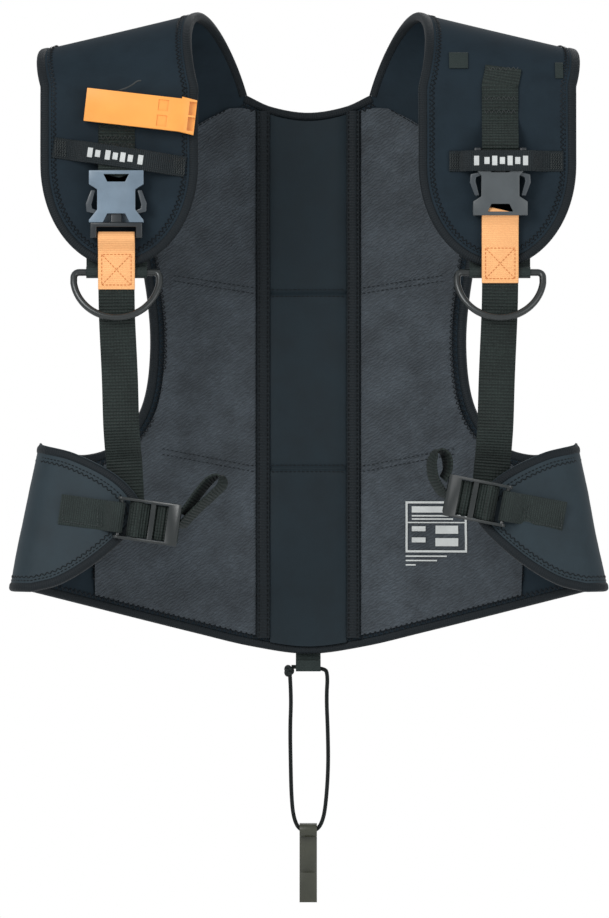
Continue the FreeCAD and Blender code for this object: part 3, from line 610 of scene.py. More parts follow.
def stitch(name: str, path: Sequence[Vector], normals: Sequence[Vector], seam: Seam) -> bpy.types.Object:
    """A row of thread stitches that lie on a surface.

    Args:
        name: The piece's name.
        path: The row's line, in millimetres.
        normals: The surface's normal at each point.
        seam: The stitches' sizes.

    Returns:
        One mesh with every stitch.
    """
    pitch = seam.length + seam.gap
    line = even(path, 1.0)
    share = (len(normals) - 1) / max(1, len(line) - 1)
    total = sum((b - a).length for a, b in zip(line, line[1:]))
    count = max(1, int(total / pitch))
    verts: list[Point] = []
    faces: list[Sequence[int]] = []

    def spot(distance: float) -> tuple[Vector, Vector, Vector]:
        """Point, tangent and normal at a distance along the row."""
        k = min(len(line) - 2, max(0, int(distance / total * (len(line) - 1))))
        f = distance / total * (len(line) - 1) - k
        t = (line[k + 1] - line[k]).normalized()
        return line[k].lerp(line[k + 1],
                            min(1, max(0, f))), t, normals[min(len(normals) - 1, round(k * share))]

    for i in range(count):
        d0 = total * i / count
        d1 = d0 + total / count * (1.0 if seam.zigzag else seam.length / pitch)
        (a, ta, na), (b, tb, nb) = spot(d0), spot(d1)
        if seam.zigzag:
            a = a + ta.cross(na).normalized() * seam.zigzag * (1 if i % 2 else -1)
            b = b + tb.cross(nb).normalized() * seam.zigzag * (-1 if i % 2 else 1)
        d = (b - a).normalized()
        side = d.cross(na).normalized()
        w = seam.width / 2
        start = len(verts)
        for share_along, size, rise in ((0.0, 0.35, -0.1), (0.25, 1.0, 0.32), (0.75, 1.0, 0.32),
                                        (1.0, 0.35, -0.1)):
            c = a.lerp(b, share_along) + na * rise * seam.width
            for s, u in ((-1, 0), (0, 0.9), (1, 0), (0, -0.9)):
                verts.append(tuple(c + side * (s * w * size) + na * (u * w * size)))
        for ring in range(3):
            for k in range(4):
                p, q = start + ring * 4 + k, start + ring * 4 + (k + 1) % 4
                faces.append((p, p + 4, q + 4, q))
        faces.append((start, start + 1, start + 2, start + 3))
        faces.append((start + 15, start + 14, start + 13, start + 12))
    obj = Bench.mesh(name, verts, faces)
    Bench.tidy(obj, 0.0001)
    Bench.smooth(obj, 60.0)
    return obj


def cut_sheet(name: str, outline: Sequence[Flat], cuts_x: Sequence[float], cuts_z: Sequence[float],
              bend: Callable[[float, float], Point]) -> bpy.types.Object:
    """Cuts a flat pattern, scores it on a grid so that it can bend, and bends it to its place.

    Args:
        name: The piece's name.
        outline: The pattern's edge as (x, z).
        cuts_x: Places of the upright score lines.
        cuts_z: Places of the level score lines.
        bend: Gives a pattern point's place in space.

    Returns:
        The open sheet.
    """
    obj = Bench.mesh(name, [(x, 0, z) for x, z in outline], [tuple(range(len(outline)))])
    Bench.take(obj)
    bpy.ops.object.mode_set(mode="EDIT")
    for places, axis in ((cuts_x, 0), (cuts_z, 2)):
        for place in places:
            bpy.ops.mesh.select_all(action="SELECT")
            spot, normal = [0.0, 0.0, 0.0], [0.0, 0.0, 0.0]
            spot[axis], normal[axis] = place * MM, 1.0
            bpy.ops.mesh.bisect(plane_co=spot, plane_no=normal)
    bpy.ops.mesh.select_all(action="SELECT")
    bpy.ops.mesh.remove_doubles(threshold=0.02 * MM)
    bpy.ops.object.mode_set(mode="OBJECT")
    for vertex in obj.data.vertices:
        x, y, z = bend(vertex.co.x / MM, vertex.co.z / MM)
        vertex.co = (x * MM, y * MM, z * MM)
    obj.data.update()
    return obj


def face_way(obj: bpy.types.Object, direction: Point) -> None:
    """Turns an open sheet's faces to look along a direction, on the whole."""
    Bench.tidy(obj)
    total = Vector()
    for face in obj.data.polygons:
        total += face.normal * face.area
    if total.dot(Vector(direction)) < 0:
        obj.data.flip_normals()


def steps_between(low: float, high: float, step: float) -> list[float]:
    """Even places strictly between two ends."""
    count = max(1, round((high - low) / step))
    return [low + (high - low) * i / count for i in range(1, count)]


def ripple(x: float, y: float, z: float, size: float) -> float:
    """Smooth, repeatable unevenness between about -1 and 1, at a size in millimetres."""
    return noise.noise(Vector((x, y, z)) / size)


# ------------------------------------------------------------------------------------- back of the body
@dataclass
class BackShape:
    """Where the curved back panel lies, with its edges, shared by all that is sewn to it."""

    radius: float = 360.0
    depth: float = 66.0
    thick: float = 5.0
    hem_z: float = -506.0

    def at(self, x: float, z: float, out: float = 0.0) -> Vector:
        """A point a distance behind the panel's inner face (negative is towards the chest)."""
        a = math.asin(max(-0.99, min(0.99, x / self.radius)))
        r = self.radius + out
        return Vector((r * math.sin(a), self.depth - self.radius + r * math.cos(a), z))

    def normal(self, x: float) -> Vector:
        """The panel's direction towards the wearer."""
        a = math.asin(max(-0.99, min(0.99, x / self.radius)))
        return Vector((-math.sin(a), -math.cos(a), 0))

    def armhole(self, side: Side) -> list[Vector]:
        """The armhole's edge from the side seam up to the yoke, as (x, 0, z)."""
        edge = [(199.4, -345), (176, -347.5), (153, -339), (132, -309), (125, -262), (129, -210), (141, -155),
                (163, -104), (188, -58)]
        return spline([(side.x(x), 0, z) for x, z in edge], 10)

    def neck(self) -> list[Vector]:
        """The neckline from right to left."""
        edge = [(50, -58), (30, -67.2), (0, -72), (-30, -67.2), (-50, -58)]
        return spline([(x, 0, z) for x, z in edge], 10)

    def hem(self) -> list[Vector]:
        """The hem from left to right."""
        half = [(221.2, -454), (177, -466), (136, -477), (90, -489), (45, -500), (0, self.hem_z)]
        return spline([(-x, 0, z) for x, z in half[:-1]] + [(x, 0, z) for x, z in half[::-1]], 8)

    def outline(self) -> list[Flat]:
        """The whole pattern's edge, anticlockwise seen from the chest."""
        right, left = self.armhole(Side.RIGHT), self.armhole(Side.LEFT)[::-1]
        ring = self.hem() + right + self.neck() + left
        return [(p.x, p.z) for p in ring]

    def hem_height(self, x: float) -> float:
        """Height of the hem at a distance from the middle."""
        line = self.hem()
        for a, b in zip(line, line[1:]):
            if a.x <= x <= b.x:
                return a.z + (b.z - a.z) * (x - a.x) / max(1e-6, b.x - a.x)
        return -454.0

    def seam_height(self, x: float, level: int) -> float:
        """Height of the cross seams that rise towards the sides: level 0 is the upper one."""
        x = abs(x)
        if level == 0:
            return -216.5 + 0.15 * max(0.0, x - 31)
        return -357.6 + 0.19 * max(0.0, x - 46)


BACK = BackShape()


@dataclass
class BackPanel:
    """The neoprene back panel with its bound edges."""

    step: float = 9.0
    binding_width: float = 7.2
    binding_proud: float = 1.0

    def build(self) -> None:
        """Makes the panel, the four bindings and their overlock stitches."""
        self.panel()
        self.edge("Neck binding", BACK.neck(), "neck_binding", 0)
        self.edge("Hem binding", BACK.hem(), "hem_binding", 0)
        for side in Side:
            line = BACK.armhole(side)
            self.edge(f"Armhole binding {side.word}", line if side is Side.RIGHT else line[::-1],
                      f"armhole_binding_{side.word}", 0)

    def panel(self) -> None:
        """The curved sheet itself."""
        sheet = cut_sheet("Back panel neoprene", BACK.outline(), steps_between(-222, 222, self.step),
                          steps_between(-506, -58, self.step * 1.4), lambda x, z: tuple(BACK.at(x, z)))
        face_way(sheet, (0, 1, 0))
        Bench.modifier(sheet, "SOLIDIFY", thickness=BACK.thick * MM, offset=1.0)
        Bench.tidy(sheet)
        Bench.smooth(sheet, 40.0)
        Bench.dress(sheet, NEOPRENE, "neoprene")
        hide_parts("back_panel")
        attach(sheet, "harness")

    def edge(self, name: str, line: list[Vector], node: str, trim: int) -> None:
        """A folded tape over an edge, with overlock thread along its inner side.

        Args:
            name: The piece's name.
            line: The edge with the panel to its left.
            node: The node it stands for.
            trim: Points left off at each end; not used.
        """
        line = even(line, 5.0)
        normals = [BACK.normal(p.x) for p in line]
        middle = BACK.thick / 2
        path = []
        for i, p in enumerate(line):
            t = tangent(line, i)
            left = Vector((-t.z, 0, t.x))
            q = p + left * (self.binding_width / 2 - 0.9)
            path.append(BACK.at(q.x, q.z, middle))
        profile = section(self.binding_width, BACK.thick + 2 * self.binding_proud, 2.6, 4)
        tape = sweep(name, path, normals, profile)
        Bench.dress(tape, BINDING, "binding_tape")
        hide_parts(node)
        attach(tape, "harness")
        rows = []
        for i, p in enumerate(line):
            t = tangent(line, i)
            left = Vector((-t.z, 0, t.x))
            q = p + left * (self.binding_width + 0.4)
            rows.append(BACK.at(q.x, q.z, -1.9))
        thread = stitch(f"{name} stitching", rows, normals, Seam(2.2, 0.0, 0.75, 1.9))
        Bench.dress(thread, THREAD, "binding_tape")
        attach(thread, "harness")


@dataclass
class SpineStrip:
    """The smooth strip down the middle of the back, its cross seams and the tapes over its edges."""

    half: float = 31.0
    thick: float = 4.0
    tape: float = 11.0

    def top(self, x: float) -> float:
        """Height of the strip's upper end at x."""
        return -72.0 + 14.0 * (x / 50.0) ** 2 - 6.2

    def build(self) -> None:
        """Makes the strip, the tapes and the stitch rows."""
        outline = [(x, BACK.hem_height(x) + 5.2) for x in range(-31, 32, 2)]
        outline += [(x, self.top(x)) for x in range(31, -32, -2)]

        def bend(x: float, z: float) -> Point:
            """Crowned surface with a sunk line at each cross seam."""
            crown = 0.5 * (1 - (x / self.half) ** 2)
            sunk = 0.0
            for seam in (-216.5, -357.6):
                sunk += 1.5 * math.exp(-((z - seam) / 1.5) ** 2)
            wrinkle = 0.35 * ripple(x, 0, z, 30)
            edge = 1.2 * max(0.0, abs(x) - self.half + 3) / 3
            return tuple(BACK.at(x, z, -(self.thick + crown + wrinkle - sunk - edge)))

        levels = steps_between(-506, -70,
                               7.0) + [s + d for s in (-216.5, -357.6) for d in (-3, -1.5, 0, 1.5, 3)]
        strip = cut_sheet("Spine strip", outline, steps_between(-31, 31, 4.4), levels, bend)
        face_way(strip, (0, -1, 0))
        Bench.modifier(strip, "SOLIDIFY", thickness=2.4 * MM, offset=-1.0)
        Bench.smooth(strip, 60.0)
        Bench.dress(strip, SPINE_CLOTH, "neoprene")
        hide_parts("spine_pad")
        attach(strip, "harness")
        for side in Side:
            self.edge_tape(side)
        for n, seam in enumerate((-216.5, -357.6)):
            for k, off in enumerate((-2.6, 2.6)):
                line = [BACK.at(x, seam + off, -self.thick - 0.55) for x in range(-30, 31, 3)]
                row = stitch(f"Spine seam {n}{k}", line, [BACK.normal(p.x) for p in line],
                             Seam(2.4, 1.0, 0.6))
                Bench.dress(row, THREAD, "binding_tape")
                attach(row, "harness")

    def edge_tape(self, side: Side) -> None:
        """One raised tape with a double row of stitches at each edge."""
        x = side.x(self.half + self.tape / 2)
        count = int((self.top(x) - BACK.hem_height(x) - 5.5) / 4.0) + 1
        levels = [self.top(x) + 0.8 - i * 4.0 for i in range(count)]
        wobble = [side.x(self.half + self.tape / 2) + 0.35 * ripple(side.value * 9, 0, z, 60) for z in levels]
        path = [BACK.at(w, z, -(self.thick + 0.6) / 2 - 0.4) for w, z in zip(wobble, levels)]
        normals = [BACK.normal(w) for w in wobble]
        profile = section(self.tape, self.thick + 1.0, 1.8, 3)
        profile = [(a, b - (0.7 * math.exp(-((abs(a) - 3.4) / 0.8) ** 2) if b > 0 else 0)) for a,
                   b in self.dense(profile)]
        tape = sweep(f"Spine tape {side.word}", path, normals, profile)
        Bench.dress(tape, TAPE, "binding_tape")
        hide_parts(f"spine_tape_{side.word}")
        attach(tape, "harness")
        for k, off in enumerate((-3.5, 3.5)):
            line = [BACK.at(w + off, z, -self.thick - 0.75) for w, z in zip(wobble, levels)]
            row = stitch(f"Spine tape stitching {side.word} {k}", line, normals, Seam(2.7, 1.2, 0.8))
            Bench.dress(row, THREAD, "binding_tape")
            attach(row, "harness")

    def dense(self, profile: list[Flat]) -> list[Flat]:
        """The section with more points along its long sides."""
        out = []
        for i, a in enumerate(profile):
            b = profile[(i + 1) % len(profile)]
            n = max(1, round(math.hypot(b[0] - a[0], b[1] - a[1]) / 0.9))
            out += [(a[0] + (b[0] - a[0]) * k / n, a[1] + (b[1] - a[1]) * k / n) for k in range(n)]
        return out


@dataclass
class SideLining:
    """The ribbed stretch lining beside the spine, with wrinkles, cross seams and a zigzag border."""

    side: Side
    inner: float = 42.5
    border: float = 9.2

    def outline(self) -> list[Flat]:
        """The lining's edge on the right side, as (x, z)."""
        arm = [p for p in BACK.armhole(Side.RIGHT)]
        edge = []
        for i, p in enumerate(arm):
            t = tangent(arm, i)
            q = p + Vector((-t.z, 0, t.x)) * self.border
            edge.append((q.x, q.z))
        edge = [q for q in edge if q[1] < -104 and q[0] < 168]
        top = [(138, -103), (120, -96), (97, -86), (80, -76), (64, -68), (54, -67.5), (self.inner, -69.5)]
        bottom_x = [self.inner + (171 - self.inner) * i / 16 for i in range(17)]
        bottom = [(x, BACK.hem_height(x) + self.border - 0.5) for x in bottom_x]
        return bottom + [(172, -440), (171.5, -400), (170, -368)] + edge[1:] + top

    def surface(self, x: float, z: float, lift: float = 0.0) -> Point:
        """Lining surface: soft diagonal wrinkles, sunk at the cross seams and pulled flat at the edges."""
        inset = min(1.0, (abs(x) - self.inner) / 14)
        u = 0.82 * abs(x) - 0.57 * z
        v = 0.57 * abs(x) + 0.82 * z
        folds = 1.2 * ripple(u * 0.35, self.side.value * 5, v,
                             17) + 2.4 * ripple(x, self.side.value * 7, z, 52)
        for level in (0, 1):
            d = (z - BACK.seam_height(x, level)) / 3.0
            folds = folds * (1 - 0.7 * math.exp(-d * d / 6)) - 1.6 * math.exp(-d * d)
        low = min(1.0, max(0.0, (z - BACK.hem_height(x) - self.border) / 16))
        return tuple(BACK.at(x, z, -1.7 - lift - max(-0.9, folds * inset * low)))

    def build(self) -> None:
        """Makes the lining, its seams and stitches."""
        s = self.side
        outline = [(s.x(x), z) for x, z in self.outline()]
        if s is Side.LEFT:
            outline = outline[::-1]

        levels = steps_between(-506, -66, 4.5)
        sheet = cut_sheet(f"Side lining {s.word}", outline, steps_between(-173, 173, 5.0), levels,
                          self.surface)
        face_way(sheet, (0, -1, 0))
        Bench.modifier(sheet, "SOLIDIFY", thickness=0.8 * MM, offset=-1.0)
        Bench.smooth(sheet, 70.0)
        Bench.dress(sheet, LINING, "woven_lining")
        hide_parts(f"lining_{s.word}")
        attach(sheet, "harness")
        for level in (0, 1):
            far = 113 if level == 0 else 122
            for k, off in enumerate((-2.2, 2.2)):
                line = [BACK.at(s.x(x), BACK.seam_height(x, level) + off, -2.2) for x in range(44, far, 3)]
                self.row(f"Lining seam {s.word} {level}{k}", line, Seam(2.4, 1.3, 0.6), THREAD)
        edge = self.outline()
        border = [(x, z) for x, z in edge if x > 60 and not (x > 169 and z < -366)]
        arm = [q for q in border if q[1] > -366 and q[1] < -100]
        line = [BACK.at(s.x(x - 0.5), z, -2.3) for x, z in arm]
        self.row(f"Lining armhole stitching {s.word}", line, Seam(2.2, 0, 0.7, 1.5), THREAD)
        yoke = [(150, -110), (138, -104), (120, -97), (97, -87), (80, -77), (66, -69)]
        line = [BACK.at(s.x(x), z, -2.3) for x, z in yoke]
        self.row(f"Lining yoke seam {s.word}", line, Seam(2.6, 1.0, 0.75), THREAD)
        line = [BACK.at(s.x(172), z, -1.5) for z in range(-366, -448, -3)]
        self.row(f"Lining side stitching {s.word}", line, Seam(2.2, 0, 0.7, 1.3), THREAD)

    def row(self, name: str, line: list[Vector], seam: Seam, finish: Finish) -> None:
        """One stitch row on the lining."""
        line = spline([tuple(p) for p in line], 3)
        thread = stitch(name, line, [BACK.normal(p.x) for p in line], seam)
        Bench.dress(thread, finish, "binding_tape")
        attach(thread, "harness")


@dataclass
class BallastPockets:
    """Three overlapping pockets on the outside of the back, with elastic mouths."""

    rows: tuple[float, ...] = (-84.0, -216.0, -357.0)
    halves: tuple[float, ...] = (105.0, 105.0, 150.0)
    mouth: float = 8.0
    swell: float = 5.0

    def build(self) -> None:
        """Makes each pocket, its mouth and its stitches."""
        names = ("upper", "middle", "lower")
        bands = []
        for i, name in enumerate(names):
            half, top = self.halves[i], self.rows[i]
            floor = self.rows[i + 1] if i < 2 else None
            self.pocket(name, half, top - self.mouth + 1, floor)
            bands.append(self.band(name, half, top))
        trim = Bench.join("Pocket mouths", bands)
        Bench.dress(trim, ELASTIC, "binding_tape")
        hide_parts("pocket_mouth_trim")
        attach(trim, "harness")

    def bottom(self, x: float, floor: float | None) -> float:
        """Height of a pocket's lower edge at x."""
        return floor if floor is not None else BACK.hem_height(x) + 6.0

    def pocket(self, name: str, half: float, top: float, floor: float | None) -> None:
        """One pocket: a sheet that swells gently between its sewn edges, with slack folds below its mouth."""
        count = round(half / 6)
        xs = [-half + 2 * half * i / (2 * count) for i in range(2 * count + 1)]
        outline = [(x, self.bottom(x, floor)) for x in xs] + [(x, top) for x in xs[::-1]]

        def bend(x: float, z: float) -> Point:
            """Swollen surface, flat at the two sides and the bottom."""
            low = self.bottom(x, floor)
            u = max(0.0, 1 - (abs(x) / half) ** 4)
            v = min(1.0, max(0.0, (z - low) / (top - low)))
            full = self.swell * u ** 0.7 * math.sin(math.pi * min(1.0, v * 0.92 + 0.04)) ** 0.6
            fold = 0.8 * u * ripple(x, 3, z * 0.5, 24) * v
            return tuple(BACK.at(x, z, BACK.thick + 1.2 + max(0.0, full + fold)))

        sheet = cut_sheet(f"Ballast pocket {name}", outline, steps_between(-half, half, 7.0),
                          steps_between(-506, top, 7.0), bend)
        face_way(sheet, (0, 1, 0))
        Bench.modifier(sheet, "SOLIDIFY", thickness=1.1 * MM, offset=-1.0)
        Bench.modifier(sheet, "SUBSURF", levels=1, render_levels=1)
        Bench.smooth(sheet, 60.0)
        Bench.dress(sheet, NEOPRENE, "neoprene")
        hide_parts(f"ballast_pocket_{name}")
        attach(sheet, "harness")
        rows = []
        for k, inset in enumerate((2.5, 6.0)):
            ring = [(-half + inset, top - 4)]
            ring += [(-half + inset, self.bottom(-half, floor) + inset),
                     (half - inset, self.bottom(half, floor) + inset)]
            ring += [(half - inset, top - 4)]
            line = []
            for a, b in zip(ring, ring[1:]):
                n = max(2, int(math.hypot(b[0] - a[0], b[1] - a[1]) / 4))
                for j in range(n + 1):
                    x = a[0] + (b[0] - a[0]) * j / n
                    z = a[1] + (b[1] - a[1]) * j / n
                    if abs(a[1] - b[1]) < 1e-6:
                        z = self.bottom(x, floor) + inset
                    line.append(Vector(bend(x, z)) - BACK.normal(x) * 0.25)
            normals = [-BACK.normal(p.x) for p in line]
            rows.append(stitch(f"Pocket stitching {name} {k}", line, normals, Seam(2.6, 1.2, 0.7)))
        thread = Bench.join(f"Pocket stitching {name}", rows)
        Bench.dress(thread, THREAD, "binding_tape")
        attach(thread, "harness")

    def band(self, name: str, half: float, top: float) -> bpy.types.Object:
        """The elastic across a pocket's mouth."""
        xs = [-half + 2 * half * i / 60 for i in range(61)]
        path = [BACK.at(x, top - self.mouth / 2, BACK.thick + 2.4 + 2.2 * (1 - (x / half) ** 4)) for x in xs]
        normals = [-BACK.normal(x) for x in xs]
        return sweep(f"Pocket mouth {name}", path, normals, section(self.mouth + 1, 3.0, 1.4, 3))


# ------------------------------------------------------------------------------------------ shoulders
def arc_point(a: Vector, b: Vector, c: Vector, share: float) -> Vector:
    """A point on the arc from a through b to c, at a share of its sweep."""
    u, v = b - a, c - a
    w = u.cross(v)
    centre = a + (u.length_squared * v.cross(w) + v.length_squared * w.cross(u)) / (2 * w.length_squared)
    first, axis = a - centre, w.normalized()
    last = c - centre
    angle = math.atan2(axis.dot(first.cross(last)), first.dot(last))
    if angle < 0:
        angle += 2 * math.pi
    return centre + Matrix.Rotation(angle * share, 3, axis) @ first


def strap(name: str, path: Sequence[Point], width: float, thick: float, across: Vector = Vector((1, 0, 0)),
          step: float = 2.5, steps: int = 6) -> bpy.types.Object:
    """Flat webbing along a smooth path.

    Args:
        name: The piece's name.
        path: Points in millimetres.
        width: The webbing's width.
        thick: Its thickness.
        across: The direction that its width keeps to.
        step: Distance between sections.
        steps: Smoothing steps between the points.

    Returns:
        The closed mesh.
    """
    line = even(spline(path, steps), step)
    normals = []
    for i in range(len(line)):
        t = tangent(line, i)
        normals.append(t.cross(across).normalized())
    return sweep(name, line, normals, section(width, thick, thick * 0.45, 2))


def stitch_lines(name: str, lines: Sequence[Sequence[Point]], normal: Vector, seam: Seam,
                 finish: Finish, body: str) -> bpy.types.Object:
    """Several straight stitch rows on a flat part, as one piece.

    Args:
        name: The piece's name.
        lines: Rows, each as points in millimetres.
        normal: The way that the surface faces.
        seam: The stitches' sizes.
        finish: The thread.
        body: The body it rides on.

    Returns:
        The stitches.
    """
    rows = []
    for k, line in enumerate(lines):
        path = [Vector(p) for p in line]
        rows.append(stitch(f"{name} {k}", path, [normal] * len(path), seam))
    thread = Bench.join(name, rows)
    Bench.dress(thread, finish, "binding_tape")
    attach(thread, body)
    return thread


@dataclass
class Shoulder:
    """A shoulder: crest and pad in one neoprene sheet with a bound edge, and what is sewn to it."""

    side: Side
    centre: float = 149.0
    half: float = 61.0
    face: float = -60.0
    bottom: float = -198.0
    thick: float = 5.6
    tape: float = 7.6
    straight_to: float = -118.0
    level: float = -57.5

    @property
    def body(self) -> str:
        """The pad's body."""
        return f"shoulder_{self.side.word}"

    def blend(self, obj: bpy.types.Object) -> None:
        """Bakes the placement of a piece that crosses the pad's hinge into its mesh."""
        x = self.side.x(149) * MM
        self.body
        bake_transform(obj)

    def inner(self, u: float, v: float) -> Vector:
        """The sheet's inner face, on this side of the body.

        Args:
            u: 0 at the neck edge and 1 at the arm edge.
            v: 0 at the back, 1 at the front of the crest and 2 at the pad's lower end.

        Returns:
            The point.
        """
        if v <= 1:
            x = 50 + 138 * u
            back = BACK.at(x, self.level)
            top = Vector((88 + 122 * u - 2 * (1 - u), (back.y + self.face) / 2, -31 * u))
            front = Vector((88 + 122 * u, self.face, self.level))
            p = arc_point(Vector((x, back.y, self.level)), top, front, max(0.0, v))
            if v < 0:
                p = BACK.at(x, self.level + v * 100)
        else:
            t = v - 1
            straight = (self.level - self.straight_to) / (self.level - self.bottom)
            if t < straight:
                z = self.level + t / straight * (self.straight_to - self.level)
                width = self.half
            else:
                a = (t - straight) / (1 - straight) * math.pi / 2
                z = self.straight_to + (self.bottom - self.straight_to) * math.sin(a)
                width = max(0.15, self.half * math.cos(a))
            x = self.centre + (2 * u - 1) * width
            rumple = 0.9 * ripple(x, self.side.value * 11, z, 46) * min(1.0, t * 3)
            p = Vector((x, self.face + rumple - 0.2, z))
        return Vector((self.side.x(p.x), p.y, p.z))

    def normal(self, u: float, v: float) -> Vector:
        """The sheet's outward direction."""
        e = 0.01
        across = self.inner(min(1, u + e), v) - self.inner(max(0, u - e), v)
        along = self.inner(u, v + e) - self.inner(u, v - e) if v < 1.97 else Vector((0, 0, -1))
        n = along.cross(across) * self.side.value
        return n.normalized() if n.length > 1e-6 else Vector((0, -1, 0))

    def outer(self, u: float, v: float, rise: float = 0.0) -> Vector:
        """A point above the sheet's outer face."""
        return self.inner(u, v) + self.normal(u, v) * (self.thick + rise)

    def pad_u(self, x: float) -> float:
        """u of a right-hand x on the straight part of the pad."""
        return (x - self.centre + self.half) / (2 * self.half)

    def build(self) -> None:
        """Makes the shoulder and everything that is sewn to it."""
        self.sheet()
        self.edge()
        self.ring_loop()
        if self.side is Side.RIGHT:
            self.hose_loops()

    def levels(self) -> list[float]:
        """Values of v for the sheet's rows."""
        crest = [-0.05] + [i / 24 for i in range(25)]
        straight = (self.level - self.straight_to) / (self.level - self.bottom)
        pad = [1 + straight * i / 10 for i in range(1, 11)]
        bowl = [1 + straight + (1 - straight) * i / 16 for i in range(1, 17)]
        return crest + pad + bowl

    def sheet(self) -> None:
        """The crest and pad."""
        columns = 20
        rows = self.levels()
        verts = [tuple(self.inner(i / columns, v)) for v in rows for i in range(columns + 1)]
        obj = Bench.mesh(f"Shoulder sheet {self.side.word}", verts, grid(len(rows) - 1, columns))
        face_way(obj, (0, -1, 0.3))
        Bench.modifier(obj, "SOLIDIFY", thickness=self.thick * MM, offset=1.0, use_even_offset=True)
        Bench.tidy(obj, 0.05)
        Bench.modifier(obj, "SUBSURF", levels=1, render_levels=1)
        Bench.smooth(obj, 50.0)
        Bench.dress(obj, NEOPRENE, "neoprene")
        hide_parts(f"shoulder_yoke_{self.side.word}", f"shoulder_pad_{self.side.word}")
        self.blend(obj)

    def edge_line(self, inset: float) -> tuple[list[Vector], list[Vector]]:
        """The edge's line, moved inwards over the outer face, from the neck round the pad to the arm side.

        Args:
            inset: Distance in from the edge in millimetres.

        Returns:
            Points on the inner face and the normals there.
        """
        line, normals = [], []
        rows = [v for v in self.levels() if v >= 0]
        trace = [(0.0, v) for v in rows[:-1]] + [(0.5, 2.0)] + [(1.0, v) for v in rows[-2::-1]]
        for u, v in trace:
            p = self.inner(u, min(v, 2.0))
            n = self.normal(0.5 if v > 1.9 else u, min(v, 1.95))
            line.append(p)
            normals.append(n)
        moved = []
        for i, p in enumerate(line):
            t = tangent(line, i)
            inward = t.cross(normals[i]).normalized()
            if inward.dot(self.inner(0.5, min(1.5, trace[i][1])) - p) < 0:
                inward = -inward
            moved.append(p + inward * inset)
        return moved, normals

    def edge(self) -> None:
        """The binding and its overlock stitches."""
        line, normals = self.edge_line(self.tape / 2 - 1.2)
        path = [p + n * self.thick / 2 for p, n in zip(line, normals)]
        smooth = spline([tuple(p) for p in path], 2)
        ups = [n for n in normals for _ in (0, 1)][:len(smooth)]
        ups += [normals[-1]] * (len(smooth) - len(ups))
        tape = sweep(f"Pad binding {self.side.word}", smooth, ups,
                     section(self.tape, self.thick + 1.7, 2.8, 4))
        Bench.dress(tape, BINDING, "binding_tape")
        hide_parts(f"pad_binding_{self.side.word}")
        self.blend(tape)
        for k, (inset, zig, rise) in enumerate(((self.tape + 0.2, 0.0, 0.15), (self.tape + 2.6, 1.5, 0.1))):
            line, normals = self.edge_line(inset)
            path = [p + n * (self.thick + rise) for p, n in zip(line, normals)]
            seam = Seam(2.0, 0.0, 0.7, zig) if zig else Seam(2.2, 0.9, 0.7)
            thread = stitch(f"Pad stitching {self.side.word} {k}", path, normals, seam)
            Bench.dress(thread, THREAD, "binding_tape")
            self.blend(thread)

    def ring_loop(self) -> None:
        """The webbing sleeve that holds the D-ring below the pad."""
        Bench.from_node(f"ring_loop_{self.side.word}", f"Ring loop {self.side.word}", 0.5, LOOP_WEBBING,
                        "black_webbing", self.body)

    def hose_loops(self) -> None:
        """Two short accessory loops on the crest."""
        Bench.from_node("hose_loops", "Accessory loops", 0.4, LOOP_WEBBING, "black_webbing", "harness")


